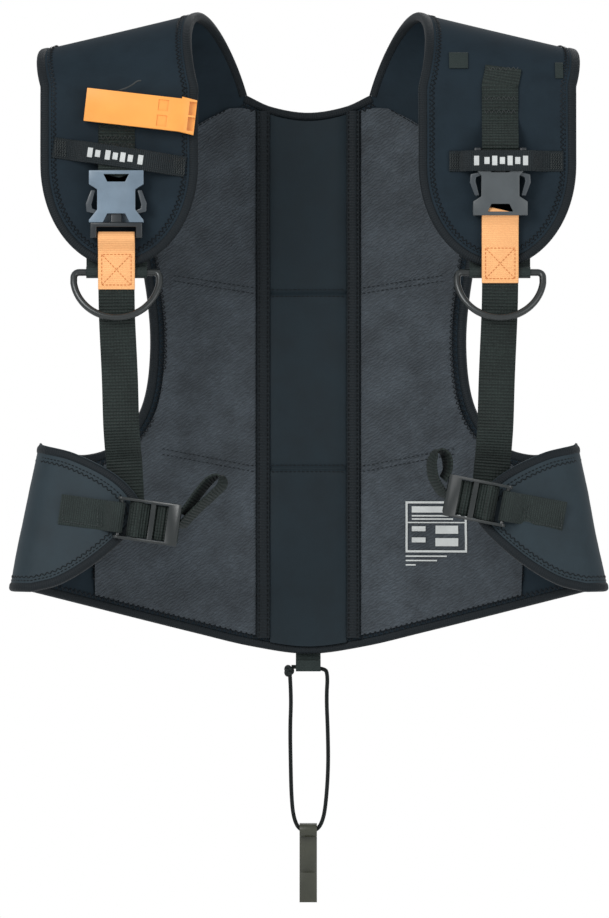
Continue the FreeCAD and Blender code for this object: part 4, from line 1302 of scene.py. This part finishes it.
@dataclass
class BuckleSet:
    """A side-release buckle with its anchor webbing, grab tab and keeper band."""

    side: Side
    shoulder: Shoulder

    def __post_init__(self) -> None:
        """Places the buckle's two webbing bars."""
        left = self.side is Side.LEFT
        self.x = self.side.x(151)
        self.middle = -143.5 if left else -138.0
        self.upper = (self.middle + 16.25, 1.8) if left else (self.middle + 31.05, 2.2)
        self.lower = (self.middle - 31.05, 2.2) if left else (self.middle - 16.25, 1.8)
        self.upper_y = -73.8 if left else -74.0
        self.lower_y = -74.0 if left else -73.8
        self.tab_end = -216.5 if left else -211.5
        # The left socket's lighter plastic is a painted reflection; the right socket has the plain charcoal
        # plastic.
        self.finish = SOCKET_REFLECTION_PLASTIC if left else CHARCOAL_PLASTIC
        self.slot = "buckle_plastic" if left else "hardware_plastic"

    def build(self) -> None:
        """Makes the buckle and its webbing."""
        self.mouldings()
        self.anchor()
        self.grab_tab()
        self.keeper()

    def mouldings(self) -> None:
        """Socket, plug and the two latch arms."""
        w = self.side.word
        socket, plug = ("shoulder", "release") if self.side is Side.LEFT else ("release", "shoulder")
        Bench.from_node(f"buckle_socket_{w}", f"Buckle socket {w}", 0.9, self.finish, self.slot,
                        f"{socket}_{w}", 3)
        Bench.from_node(f"buckle_plug_{w}", f"Buckle plug {w}", 0.9, PLUG_PLASTIC, self.slot, f"{plug}_{w}",
                        3)
        for arm in ("outer", "inner"):
            Bench.from_node(f"buckle_prong_{arm}_{w}", f"Buckle arm {arm} {w}", 0.6, LATCH_PLASTIC, self.slot,
                            f"prong_{arm}_{w}", 3)

    def anchor(self) -> None:
        """Webbing from the crest down over the pad, round the buckle's upper bar and back."""
        s, z, half = self.shoulder, self.upper[0], self.upper[1]
        u = s.pad_u(151)
        crossing = self.side is Side.RIGHT
        path = [tuple(s.outer(u, v, 1.0)) for v in (0.905, 0.94, 0.97, 1.0)] if crossing else []
        path += [(self.x, -66.9, h) for h in ((-62, -70) if crossing else (-68, -76)) if h > z + 26]
        path += [(self.x, -66.9, z + 24), (self.x, self.upper_y - half - 1.05, z + 9),
                 (self.x, self.upper_y - half - 1.05, z + 1)]
        path += [(self.x, self.upper_y, z - 2.8), (self.x, self.upper_y + half + 1.05, z + 1)]
        path += [(self.x, self.upper_y + half + 1.05, z + 9), (self.x, -67.6, z + 20)]
        web = strap(f"Anchor webbing {self.side.word}", path, 28.8, 1.5, step=1.2)
        Bench.dress(web, WEBBING, "black_webbing")
        if crossing:
            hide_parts(f"anchor_webbing_{self.side.word}", "anchor_tops")
            s.blend(web)
        else:
            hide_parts(f"anchor_webbing_{self.side.word}")
            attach(web, s.body)
        rows = (-66.0, -76.5) if self.side is Side.RIGHT else (-97.0, -102.5)
        lines = [[(self.x - 12.5, -67.85, r), (self.x + 12.5, -67.85, r)] for r in rows]
        thread = stitch_lines(f"Anchor stitching {self.side.word}", lines, Vector((0, -1, 0)),
                              Seam(1.9, 0, 0.6, 1.7),
                              GREY_THREAD, s.body)
        LOG.info("%s holds %d rows", thread.name, len(rows))
        if crossing:
            top = s.outer(u, 0.915, 1.8)
            normal = s.normal(u, 0.915)
            row = stitch(f"Anchor top stitching {self.side.word}",
                         [top + Vector((d, 0, 0)) for d in range(-12, 13, 4)],
                         [normal] * 7, Seam(1.9, 0, 0.6, 1.7))
            Bench.dress(row, GREY_THREAD, "binding_tape")
            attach(row, "harness")

    def grab_tab(self) -> None:
        """Doubled orange webbing round the buckle's lower bar, with a box and cross of stitches."""
        z, half, end = self.lower[0], self.lower[1], self.tab_end
        front, back = -70.95, -69.25
        y0, y1 = self.lower_y - half - 1.05, self.lower_y + half + 1.05
        path = [(self.x, front, end), (self.x, front, end + 12), (self.x, front, z - 16),
                (self.x, front - 0.6, z - 11)]
        path += [(self.x, y0, z - 3), (self.x, y0, z), (self.x, self.lower_y, z + 2.8), (self.x, y1, z),
                 (self.x, y1, z - 3)]
        path += [(self.x, back, z - 11), (self.x, back, z - 16), (self.x, back, end + 12),
                 (self.x, back, end)]
        web = strap(f"Grab tab {self.side.word}", path, 29.0, 1.5, step=1.0)
        Bench.dress(web, ORANGE, "orange_webbing")
        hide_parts(f"grab_tab_{self.side.word}")
        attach(web, f"release_{self.side.word}")
        top, low, side = end + 27.5, end + 3.4, 11.6
        face = front - 0.95
        a, b, c, d = [(self.x + i * side, face, j) for i, j in ((-1, low), (1, low), (1, top), (-1, top))]
        stitch_lines(f"Grab tab stitching {self.side.word}", [[a, b], [b, c], [c, d], [d, a], [a, c], [b, d]],
                     Vector((0, -1, 0)), Seam(1.9, 0.8, 0.5), ORANGE_THREAD, f"release_{self.side.word}")

    def keeper(self) -> None:
        """Elastic band over the webbing, sewn down at both ends."""
        left = self.side is Side.LEFT
        z, tilt, rise = (-112.5, math.radians(8.5), -78.0) if left else (-115.5, 0.0, -80.4)
        start = 97.0 if left else 111.0
        level = [(start, -66.7), (start + 5, -66.7), (start + 9, -67.3), ((start + 135) / 2, (rise - 67) / 2)]
        level += [(130, rise + 0.4), (140, rise - 0.75), (150, rise - 0.9), (162, rise - 0.75),
                  (174, rise - 0.2), (181, -72)]
        level += [(188, -67.3), (194, -66.7), (201, -66.7)]
        path = [(self.side.x(x), y, z + (x - 148) * math.sin(tilt)) for x, y in level]
        line = even(spline(path, 6), 2.0)
        normals = []
        for i in range(len(line)):
            t = tangent(line, i)
            normals.append(t.cross(Vector((0, 0, 1))).normalized() * (1 if not left else -1))
        band = sweep(f"Keeper band {self.side.word}", line, normals, section(16.4, 1.5, 0.7, 2))
        Bench.dress(band, ELASTIC, "black_webbing")
        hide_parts(f"keeper_band_{self.side.word}")
        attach(band, self.shoulder.body)
        lines = []
        for x0 in (start + 1, 191.5):
            for k in range(5):
                x = x0 + k * 1.9
                h = z + (x - 148) * math.sin(tilt)
                lines.append([(self.side.x(x), -67.75, h - 6.2), (self.side.x(x), -67.75, h + 6.2)])
        stitch_lines(f"Keeper bartacks {self.side.word}", lines, Vector((0, -1, 0)), Seam(1.3, 0, 0.7, 0.7),
                     GREY_THREAD, self.shoulder.body)
        self.band_print(line, normals)

    def band_print(self, line: list[Vector], normals: list[Vector]) -> None:
        """A plain row of pale blocks printed on the band."""
        marks = []
        for k in range(7):
            middle = min(range(len(line)), key=lambda i: abs(abs(line[i].x) - (133 + 6.4 * k)))
            run = line[middle - 1:middle + 2]
            path = [p + normals[middle] * 0.8 for p in run]
            tall = 7.5 if k % 2 == 0 else 5.5
            marks.append(sweep(f"Band print {k}", path, [normals[middle]] * len(path),
                               section(tall, 0.2, 0.09, 1)))
        label = Bench.join(f"Band print {self.side.word}", marks)
        Bench.dress(label, PRINT, "black_webbing")
        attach(label, self.shoulder.body)


@dataclass
class DeeRing:
    """A round-wire D-ring that swings in its webbing sleeve."""

    side: Side
    half: float = 33.75
    drop: float = 38.0
    wire: float = 5.5
    tilt: float = 20.0

    def build(self) -> None:
        """Sweeps the wire round the ring's line."""
        h, r = self.half, 4.2
        corner = [(h - r + r * math.sin(a),
                   -r + r * math.cos(a)) for a in (math.radians(k) for k in range(0, 91, 15))]
        low = -3.86
        reach = self.drop + low
        bow = []
        start = math.atan2(-9 - low, h)
        for k in range(1, 40):
            a = start - (math.pi + 2 * start) * k / 40
            bow.append((reach * math.cos(a), low + reach * math.sin(a)))
        right = corner + [(h, -6.5), (h, -9)]
        ring = [(x, 0, z) for x, z in [(-20, 0), (0, 0), (20, 0)] + right + bow]
        ring += [(-x, 0, z) for x, z in right[::-1]]
        turn = Matrix.Rotation(math.radians(-self.tilt), 3, "X")
        centre = Vector((self.side.x(151), -63.5, -203))
        path = [turn @ Vector(p) + centre for p in ring]
        normals = [turn @ Vector((0, -1, 0))] * len(path)
        wire = sweep(f"D ring {self.side.word}", path, normals,
                     section(self.wire, self.wire, self.wire / 2, 5), closed=True)
        Bench.dress(wire, COATED_STEEL, "coated_steel")
        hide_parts(f"d_ring_{self.side.word}")
        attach(wire, f"ring_{self.side.word}")


# ---------------------------------------------------------------------------------------------- waist
@dataclass
class Wing:
    """A waist wing that folds forward from the side seam, with its tab, adjuster and free webbing."""

    side: Side
    bend: float = 22.0
    flap: float = 180.0
    thick: float = 5.0
    top: float = -338.0
    tape: float = 7.4
    wave: float = 1.1
    corner_top: float = -340.0
    corner_dip: float = 3.6
    corner_run: float = 25.0
    corner_fade: float = 60.0

    def __post_init__(self) -> None:
        """Works out the plan's centres and the adjuster's place."""
        self.first = math.radians(56.44)
        self.turned = self.first - math.radians(125)
        self.near = Vector((186.84, -12.33, 0))
        edge = self.near + Vector((math.cos(self.turned), math.sin(self.turned), 0)) * self.bend
        self.far = edge - Vector((math.cos(self.turned), math.sin(self.turned), 0)) * self.flap
        self.curve_length = self.bend * math.radians(125)
        left = self.side is Side.LEFT
        self.lock = Vector((127.5, -65.0, -399.0)) if left else Vector((134.0, -64.0, -383.0))
        self.turn = math.radians(-8.0 if left else 11.0)
        self.patch = (155.0, 194.0) if left else (162.0, 200.0)

    @property
    def body(self) -> str:
        """The wing's body."""
        return f"wing_{self.side.word}"

    def angle(self, s: float) -> float:
        """Plan angle at a length along the sheet from the seam."""
        if s <= self.curve_length:
            return self.first - s / self.bend
        return self.turned - (s - self.curve_length) / self.flap

    def right(self, s: float, z: float, out: float = 0.0) -> Vector:
        """A point a distance outside the sheet's inner face, on the right-hand wing."""
        a = self.angle(s)
        centre, radius = (self.near, self.bend) if s <= self.curve_length else (self.far, self.flap)
        slide = (self.top - z) / 130.0
        along = max(0.0, 1.0 - s / self.corner_run)
        dip = self.corner_dip * along * max(0.0, 1.0 - (self.corner_top - z) / self.corner_fade)
        return Vector((centre.x + (radius + out) * math.cos(a) + 26.0 * slide,
                       centre.y + (radius + out) * math.sin(a) - 17.0 * slide, z - dip))

    def rumple(self, s: float, z: float) -> float:
        """The sheet's slight waviness, which its binding and stitches follow."""
        return self.wave * ripple(s, self.side.value * 13, z, 38) * min(1.0, s / 30)

    def at(self, s: float, z: float, out: float = 0.0) -> Vector:
        """The same point on this side."""
        p = self.right(s, z, out)
        return Vector((self.side.x(p.x), p.y, p.z))

    def normal(self, s: float) -> Vector:
        """The sheet's outward direction."""
        a = self.angle(s)
        return Vector((self.side.x(math.cos(a)), math.sin(a), 0.13)).normalized()

    def reach(self, x: float, z: float) -> float:
        """Length along the sheet at which the front flap is at a right-hand x."""
        slide = 26.0 * (self.top - z) / 130.0
        share = (x - slide - self.far.x) / self.flap
        a = -math.acos(max(-1.0, min(1.0, share)))
        if a < self.turned:
            return self.curve_length + (self.turned - a) * self.flap
        share = (x - slide - self.near.x) / self.bend
        return self.bend * (self.first + math.acos(max(-1.0, min(1.0, share))))

    def front(self, x: float, z: float, out: float) -> Vector:
        """A point outside the front flap's inner face at a right-hand x, on the right-hand wing."""
        return self.right(self.reach(x, z), z, out)

    def rows(self) -> list[Flat]:
        """The flap's free edge as (length along the sheet, z), from the top."""
        edge = [(209, -340), (200, -342), (185, -346), (163, -356), (148, -366), (137, -378), (131, -391),
                (137, -402),
                (150, -416), (172, -434), (197, -448.5), (218, -454)]
        line = even(spline([(x, 0, z) for x, z in edge], 10), 4.5)
        return [(self.reach(p.x, p.z), p.z) for p in line]

    def build(self) -> None:
        """Makes the wing and everything on it."""
        self.sheet()
        self.edges()
        self.side_seam()
        self.tab()
        self.strap()
        self.tail()
        word = self.side.word
        Bench.from_node(f"ladder_lock_{word}", f"Ladder lock {word}", 0.7, LOCK_PLASTIC, "hardware_plastic",
                        f"adjuster_{word}", 3)

    def blend(self, obj: bpy.types.Object) -> None:
        """Bakes the placement of a piece that crosses the side seam into its mesh."""
        x = self.side.x(203) * MM
        self.body
        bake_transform(obj)

    def sheet(self) -> None:
        """The neoprene sheet."""
        columns = 34
        verts: list[Point] = []
        rows = self.rows()
        for s_end, z in rows:
            for c in range(columns + 1):
                s = s_end * c / columns
                verts.append(tuple(self.at(s, z, self.rumple(s, z))))
        obj = Bench.mesh(f"Wing sheet {self.side.word}", verts, grid(len(rows) - 1, columns))
        face_way(obj, (self.side.value * 0.5, -1, 0))
        Bench.modifier(obj, "SOLIDIFY", thickness=self.thick * MM, offset=1.0)
        Bench.tidy(obj, 0.02)
        Bench.smooth(obj, 50.0)
        Bench.dress(obj, WING_CLOTH, "neoprene")
        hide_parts(f"waist_wing_{self.side.word}")
        self.blend(obj)

    def ring(self, inset: float, out: float) -> tuple[list[Vector], list[Vector]]:
        """The rim's line from the seam round the flap and back, moved inwards.

        Args:
            inset: Distance in from the edge in millimetres.
            out: Distance outside the inner face.

        Returns:
            Points and the sheet's normals there.
        """
        rows = self.rows()
        flat = [(s, rows[0][1]) for s in (0.0, 7.0, 14.0)] + rows
        last = rows[-1]
        flat += [(last[0] * k / 8, last[1]) for k in range(7, -1, -1)]
        line, normals = [], []
        for i, (s, z) in enumerate(flat):
            a, b = flat[max(i - 1, 0)], flat[min(i + 1, len(flat) - 1)]
            ds, dz = b[0] - a[0], b[1] - a[1]
            n = math.hypot(ds, dz) or 1.0
            s2, z2 = s + dz / n * inset, z - ds / n * inset
            s2 = max(0.0, s2)
            line.append(self.at(s2, z2, out + self.rumple(s2, z2)))
            normals.append(self.normal(s2))
        return line, normals

    def edges(self) -> None:
        """The binding and two stitch rows beside it."""
        line, normals = self.ring(self.tape / 2 - 1.0, self.thick / 2)
        smooth = even(spline([tuple(p) for p in line], 3), 3.0)
        share = (len(normals) - 1) / (len(smooth) - 1)
        ups = [normals[min(len(normals) - 1, round(i * share))] for i in range(len(smooth))]
        tape = sweep(f"Wing binding {self.side.word}", smooth, self.settle(ups),
                     section(self.tape, self.thick + 1.9, 2.8, 4))
        Bench.dress(tape, BINDING, "binding_tape")
        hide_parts(f"wing_binding_{self.side.word}")
        self.blend(tape)
        for k, (inset, zig) in enumerate(((self.tape + 0.6, 0.0), (self.tape + 3.4, 1.1))):
            line, normals = self.ring(inset, self.thick + 0.25)
            thread = stitch(f"Wing stitching {self.side.word} {k}", line, normals,
                            Seam(2.3, 0.0 if zig else 1.0, 0.7, zig))
            Bench.dress(thread, THREAD, "binding_tape")
            self.blend(thread)

    def settle(self, ups: list[Vector]) -> list[Vector]:
        """Averages the normals so that the binding does not twist in steps."""
        out = []
        for i in range(len(ups)):
            near = ups[max(0, i - 2):i + 3]
            total = Vector((0, 0, 0))
            for n in near:
                total += n
            out.append(total.normalized())
        return out

    def side_seam(self) -> None:
        """The tape that joins the wing to the back panel."""
        line = [self.at(0.2, z, self.thick / 2) for z in range(-344, -453, -6)]
        normals = [self.normal(0.0)] * len(line)
        tape = sweep(f"Side seam {self.side.word}", line, normals, section(9.0, self.thick + 1.2, 2.4, 3))
        Bench.dress(tape, BINDING, "binding_tape")
        self.blend(tape)

    def spot(self, x: float, out: float, rise: float = 0.0) -> Point:
        """A point on the tab's line over the flap."""
        z = self.lock.z - (x - self.lock.x) * math.tan(self.turn) + rise
        p = self.front(x, z, out)
        return (self.side.x(p.x), p.y, p.z)

    def tab(self) -> None:
        """Doubled webbing sewn to the flap and looped through the adjuster's pivot."""
        a, b = self.patch
        pivot = self.lock + Vector((21.3 * math.cos(self.turn), 0, -21.3 * math.sin(self.turn)))
        along = Vector((math.cos(self.turn), 0, -math.sin(self.turn)))

        def near(d: float, y: float) -> Point:
            """A point beside the pivot bar."""
            p = pivot + along * d
            return (self.side.x(p.x), p.y + y, p.z)

        path = [self.spot(x, self.thick + 0.75) for x in (b, b - 10, b - 20, a + 6)]
        path += [near(4.5, 2.7), near(0, 2.75), near(-2.75, 0), near(0, -2.75), near(4.5, -2.9)]
        path += [self.spot(x, self.thick + 2.05) for x in (a + 6, b - 20, b - 10, b)]
        across = Vector((self.side.x(math.sin(self.turn)), 0, math.cos(self.turn)))
        web = strap(f"Wing tab {self.side.word}", path, 24.0, 1.25, across, 2.0)
        Bench.dress(web, PATCH_WEBBING, "black_webbing")
        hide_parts(f"wing_tab_{self.side.word}")
        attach(web, self.body)
        rows = []
        for k, (x0, x1, z0,
                z1) in enumerate(((a + 7, b - 2.5, 9, 9), (b - 2.5, b - 2.5, 9, -9), (b - 2.5, a + 7, -9, -9),
                                              (a + 7, a + 7, -9, 9), (a + 10, a + 10, -9, 9))):
            line = [Vector(self.spot(x0 + (x1 - x0) * i / 8, self.thick + 2.95,
                                     z0 + (z1 - z0) * i / 8)) for i in range(9)]
            rows.append(stitch(f"Wing tab stitching {self.side.word} {k}", line, [Vector((0, -1, 0))] * 9,
                               Seam(2.0, 0.8, 0.6)))
        thread = Bench.join(f"Wing tab stitching {self.side.word}", rows)
        Bench.dress(thread, GREY_THREAD, "binding_tape")
        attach(thread, self.body)

    def strap(self) -> None:
        """Main webbing from the grab tab down behind the flap, in two lengths that meet at one section."""
        end = -216.5 if self.side is Side.LEFT else -211.5
        top = end + 7.0
        inside = self.front(160, -357, 0).y + 1.0 + 0.75 + 0.8
        whole = [(151, -69.0, top), (151, -69.6, end - 1), (150.6, -68.8, end - 22), (148.5, -66.1, -285),
                 (147.5, -61.1, -322), (146.5, inside - 8, -341), (145.5, inside, -353),
                 (143.5, inside, self.lock.z + 7)]
        line = even(spline([(self.side.x(x), y, z) for x, y, z in whole], 8), 2.5)
        cut = min(range(len(line)), key=lambda i: abs(line[i].z + 288))
        word = self.side.word
        pieces = []
        for name, part in (("upper", line[:cut + 1]), ("lower", line[cut:])):
            normals = []
            for i in range(len(part)):
                t = tangent(part, i)
                normals.append(t.cross(Vector((1, 0, 0))).normalized())
            web = sweep(f"Strap {name} {word}", part, normals, section(28.5, 1.5, 0.7, 2))
            Bench.dress(web, WEBBING, "black_webbing")
            pieces.append(web)
        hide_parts(f"strap_webbing_{word}")
        x = self.side.x(150) * MM
        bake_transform(pieces[0])
        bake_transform(pieces[1], "harness", self.body, (x, -0.068, -0.292), (x, -0.068, -0.350))

    def tail(self) -> None:
        """The free end of the webbing, folded over above the adjuster."""
        left = self.side is Side.LEFT
        out = Vector((-math.cos(self.turn), 0, math.sin(self.turn)))
        base = self.lock + out * 27.2 + Vector((0, 7.2, 0))
        if left:
            legs = [(-5, -1, 5), (-14, -3, 14), (-26, -5, 25), (-33, -5, 33), (-31, -5, 39), (-24, -5, 37),
                    (-15, -4, 27), (-7, -3, 16), (-2, -2, 9)]
        else:
            legs = [(-5.5, -1, 7), (-9, -2, 15), (-9.5, -4, 26.5), (-5, -5, 34), (1, -5, 31), (2.5, -4, 20.4),
                    (-1, -3, 12)]
        points = [base - out * 6, base] + [base + Vector(p) for p in legs]
        path = [(self.side.x(p.x), p.y, p.z) for p in points]
        across = Vector((self.side.x(0.35), -0.93, 0.1)).normalized()
        web = strap(f"Webbing tail {self.side.word}", path, 20.0, 1.6, across, 1.2)
        Bench.dress(web, WEBBING, "black_webbing")
        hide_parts(f"webbing_tail_{self.side.word}")
        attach(web, f"adjuster_{self.side.word}")
        local = [(14, 6.0), (13.6, 2.0), (8, -3.3), (3, -0.4), (-4, 3.1), (-11, 1.2), (-19, 3.3), (-26, 6.6)]
        along = Vector((math.cos(self.turn), 0, -math.sin(self.turn)))
        path = []
        for x, y in local:
            p = self.lock + along * x
            path.append((self.side.x(p.x), p.y + y, p.z))
        across = Vector((self.side.x(math.sin(self.turn)), 0, math.cos(self.turn)))
        web = strap(f"Threaded webbing {self.side.word}", path, 27.8, 1.5, across, 1.2)
        Bench.dress(web, WEBBING, "black_webbing")
        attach(web, f"adjuster_{self.side.word}")


# -------------------------------------------------------------------------------- whistle, cord, hook
@dataclass
class Whistle:
    """The two-chamber whistle across the left pad, with its clip and tie."""

    def build(self) -> None:
        """Makes the whistle."""
        Bench.from_node("whistle_body", "Whistle", 0.8, ORANGE_PLASTIC, "whistle_plastic", "whistle", 3)
        Bench.from_node("whistle_clip", "Whistle clip", 0.4, BLACK_PLASTIC, "hardware_plastic", "whistle")
        lean = math.radians(6.5)
        plates = []
        for low, high in ((1.8, 10.4), (-10.4, -1.8)):
            corners = [(12.5, low - 0.8), (22.5, low - 0.8), (22.5, high + 0.8), (12.5, high + 0.8)]
            verts = []
            for y in (-77.25, -76.75):
                for x, z in corners:
                    verts.append((-132 + x * math.cos(lean) + z * math.sin(lean), y,
                                  -76 - x * math.sin(lean) + z * math.cos(lean)))
            plates.append(Bench.mesh("Whistle window", verts,
                                     [(0, 1, 2, 3), (7, 6, 5, 4), (0, 4, 5, 1), (1, 5, 6, 2),
                                                               (2, 6, 7, 3), (3, 7, 4, 0)]))
        windows = Bench.join("Whistle windows", plates)
        Bench.tidy(windows)
        Bench.dress(windows, ORANGE_PLASTIC, "whistle_plastic")
        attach(windows, "whistle")
        path = spline([(-150, -74.5, -60.6), (-147, -77.2, -59.6), (-143, -77.6, -58.2), (-138, -75.5, -55.4),
                       (-134.5, -75.0, -52.8), (-131.5, -75.3, -52.4)], 6)
        tie = sweep("Whistle tie", path, [Vector((0, -1, 0.2))] * len(path), section(1.1, 1.1, 0.5, 2))
        Bench.dress(tie, GREY_THREAD, "elastic_cord")
        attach(tie, "whistle")


@dataclass
class CrotchCord:
    """The elastic cord through the hem tab, its knot and the flat belt hook."""

    tunnel: float = -517.4
    depth: float = 68.5
    diameter: float = 3.2
    route: tuple[Flat, ...] = ((-13.5, 0), (13.2, 0), (15.8, -7), (14.6, -24), (15.8, -52), (16.2, -80),
                               (14.6, -106),
                               (12.4, -122), (8, -131), (0.5, -132.6), (-7.5, -131), (-12, -121),
                               (-13.6, -103),
                               (-14.2, -76), (-14.6, -48), (-13.6, -24), (-14.8, -5.5))

    def build(self) -> None:
        """Makes the tab, cord, knot and hook."""
        Bench.from_node("hem_tab", "Hem tab", 0.5, LOOP_WEBBING, "black_webbing", "harness")
        hook = Bench.from_node("belt_hook", "Belt hook", 0.9, HOOK_PLASTIC, "hardware_plastic", "hook", 3)
        knot = self.knot()
        self.cord(knot, hook)

    def cord(self, knot: bpy.types.Object, hook: bpy.types.Object) -> None:
        """The cord itself, as a round curve."""
        points = [(x * MM, self.depth * MM, (self.tunnel + z) * MM) for x, z in self.route]
        data = bpy.data.curves.new("Crotch cord", "CURVE")
        data.dimensions = "3D"
        data.bevel_depth = self.diameter / 2 * MM
        data.bevel_resolution = 6
        data.resolution_u = 8
        data.use_fill_caps = True
        line = data.splines.new("NURBS")
        line.points.add(len(points) - 1)
        for point, place in zip(line.points, points):
            point.co = (*place, 1)
        line.order_u = 3
        line.use_endpoint_u = True
        cord = bpy.data.objects.new("Crotch cord", data)
        bpy.context.scene.collection.objects.link(cord)
        Bench.dress(cord, CORD_CLOTH, "elastic_cord")
        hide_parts("crotch_cord")
        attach(cord, "cord")

    def knot(self) -> bpy.types.Object:
        """A small overhand knot of the same cord."""
        path = []
        for k in range(60):
            a = 2 * math.pi * k / 60
            r = 1.75 + 1.05 * math.cos(3 * a)
            path.append(Vector((-15.6 + r * math.cos(2 * a), self.depth + 1.6 * math.sin(3 * a),
                                -520.6 + 1.25 * r * math.sin(2 * a))))
        normals = [Vector((0, -1, 0.1))] * len(path)
        knot = sweep("Cord knot", path, normals, section(3.2, 3.2, 1.55, 4), closed=True)
        Bench.dress(knot, CORD_CLOTH, "elastic_cord")
        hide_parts("cord_knot")
        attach(knot, "cord")
        return knot


@dataclass
class SizePrint:
    """A plain printed frame with blank bars on the right lining, where a size table would be."""

    lining: SideLining
    low: Flat = (79.0, -425.0)
    high: Flat = (128.0, -384.0)
    line: float = 1.7

    def build(self) -> None:
        """Prints the frame and its bars."""
        (x0, z0), (x1, z1) = self.low, self.high
        w = self.line
        bars = [(x0, x1, z1 - w, z1), (x0, x1, z0, z0 + w), (x0, x0 + w, z0 + w, z1 - w),
                (x1 - w, x1, z0 + w, z1 - w)]
        bars += [(x0 + w, x1 - w, z1 - 17.5, z1 - 16.5)]
        for a, b, z, tall in ((5, 38, 4, 5), (5, 44, 11, 1.2), (5, 38, 13.6, 1.2), (5, 16, 20, 4),
                              (5, 16, 29, 4),
                              (24, 42, 19.5, 6.5), (24, 42, 29.5, 6.5), (0, 33, 43.5, 1.1), (0, 25, 47, 1.1),
                              (0, 8, 50.5, 1.1)):
            bars.append((x0 + a, x0 + b, z1 - z - tall, z1 - z))
        marks = []
        for k, (a, b, c, d) in enumerate(bars):
            mark = cut_sheet(f"Print {k}", [(a, c), (b, c), (b, d), (a, d)], steps_between(a, b, 3.0),
                             steps_between(c, d, 3.0), lambda x, z: self.lining.surface(x, z, 1.05))
            face_way(mark, (0, -1, 0))
            marks.append(mark)
        label = Bench.join("Size print", marks)
        Bench.modifier(label, "SOLIDIFY", thickness=0.15 * MM, offset=-1.0)
        Bench.dress(label, PRINT, "woven_lining")
        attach(label, "harness")


# --------------------------------------------------------------------------------------------- studio
@dataclass
class Studio:
    """Plain pale floor and backdrop, soft even light and a long lens straight in front."""

    distance: float = 6.0
    centre: Point = (-0.003, 0.0, -0.350)
    height: float = 0.725
    shade: float = 0.93
    floor_z: float = -0.80
    floor_radius: float = 1.25
    surround: float = 0.62
    sensor: float = 36.0
    vest_front: float = 0.05
    samples: int = 160

    def build(self) -> None:
        """Makes the surroundings, the lights and the camera."""
        self.floor()
        self.lights()
        self.camera()
        scene = bpy.context.scene
        scene.view_settings.view_transform = "Standard"
        scene.cycles.samples = self.samples
        scene.cycles.use_denoising = True

    def backdrop_material(self) -> bpy.types.Material:
        """A pale matt surface that the camera sees as plain white where no shadow falls."""
        mat = bpy.data.materials.new("Pale backdrop")
        mat.use_nodes = True
        shader = mat.node_tree.nodes["Principled BSDF"]
        shader.inputs["Base Color"].default_value = (self.shade, self.shade, self.shade, 1)
        shader.inputs["Roughness"].default_value = 0.9
        shader.inputs["Specular IOR Level"].default_value = 0.1
        return mat

    def floor(self) -> None:
        """A round floor below the vest, out of the main view."""
        Bench.clear()
        bpy.ops.mesh.primitive_circle_add(vertices=96, radius=self.floor_radius, fill_type="NGON",
                                          location=(0, -0.3, self.floor_z))
        floor = bpy.context.object
        floor.name = "Studio floor"
        floor.data.materials.append(self.backdrop_material())

    def world(self) -> None:
        """A white surround for the camera and a softer one for the light that it gives."""
        world = bpy.data.worlds.new("Studio surround")
        bpy.context.scene.world = world
        world.use_nodes = True
        tree = world.node_tree
        tree.nodes.clear()
        out = tree.nodes.new("ShaderNodeOutputWorld")
        paths = tree.nodes.new("ShaderNodeLightPath")
        share = tree.nodes.new("ShaderNodeMixShader")
        seen = tree.nodes.new("ShaderNodeBackground")
        given = tree.nodes.new("ShaderNodeBackground")
        seen.inputs["Color"].default_value = (1, 1, 1, 1)
        given.inputs["Color"].default_value = (0.95, 0.975, 1.0, 1)
        given.inputs["Strength"].default_value = self.surround
        tree.links.new(paths.outputs["Is Camera Ray"], share.inputs["Fac"])
        tree.links.new(given.outputs["Background"], share.inputs[1])
        tree.links.new(seen.outputs["Background"], share.inputs[2])
        tree.links.new(share.outputs["Shader"], out.inputs["Surface"])

    def lights(self) -> None:
        """A large key from the upper left, a fill from the right and a weak light from behind."""
        self.world()
        for name, place, size, power in (("Key", (-1.5, -2.4, 0.9), 1.2, 40.0),
                                         ("Fill", (1.8, -2.2, 0.0), 1.6, 16.0),
                                         ("Rim", (0.3, 1.6, 1.0), 1.2, 6.0)):
            data = bpy.data.lights.new(name, "AREA")
            data.shape = "SQUARE"
            data.size = size
            data.energy = power
            lamp = bpy.data.objects.new(name, data)
            bpy.context.scene.collection.objects.link(lamp)
            lamp.location = place
            aim = Vector(self.centre) - Vector(place)
            lamp.rotation_euler = aim.to_track_quat("-Z", "Y").to_euler()

    def camera(self) -> None:
        """A long lens level with the middle of the vest."""
        data = bpy.data.cameras.new("Camera")
        camera = bpy.data.objects.new("Camera", data)
        bpy.context.scene.collection.objects.link(camera)
        camera.location = (self.centre[0], -self.distance, self.centre[2])
        camera.rotation_euler = (math.radians(90), 0, 0)
        data.sensor_fit = "VERTICAL"
        data.sensor_height = self.sensor
        data.lens = self.sensor * (self.distance - self.vest_front) / self.height
        bpy.context.scene.camera = camera


def main() -> None:
    """Builds every sub-assembly in order."""
    logging.basicConfig(level=logging.INFO, format="%(name)s %(message)s")
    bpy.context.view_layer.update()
    Studio().build()
    BackPanel().build()
    SpineStrip().build()
    for side in Side:
        SideLining(side).build()
    BallastPockets().build()
    for side in Side:
        shoulder = Shoulder(side)
        shoulder.build()
        BuckleSet(side, shoulder).build()
        DeeRing(side).build()
        Wing(side).build()
    Whistle().build()
    CrotchCord().build()
    SizePrint(SideLining(Side.RIGHT)).build()


if __name__ == "__main__":
    main()
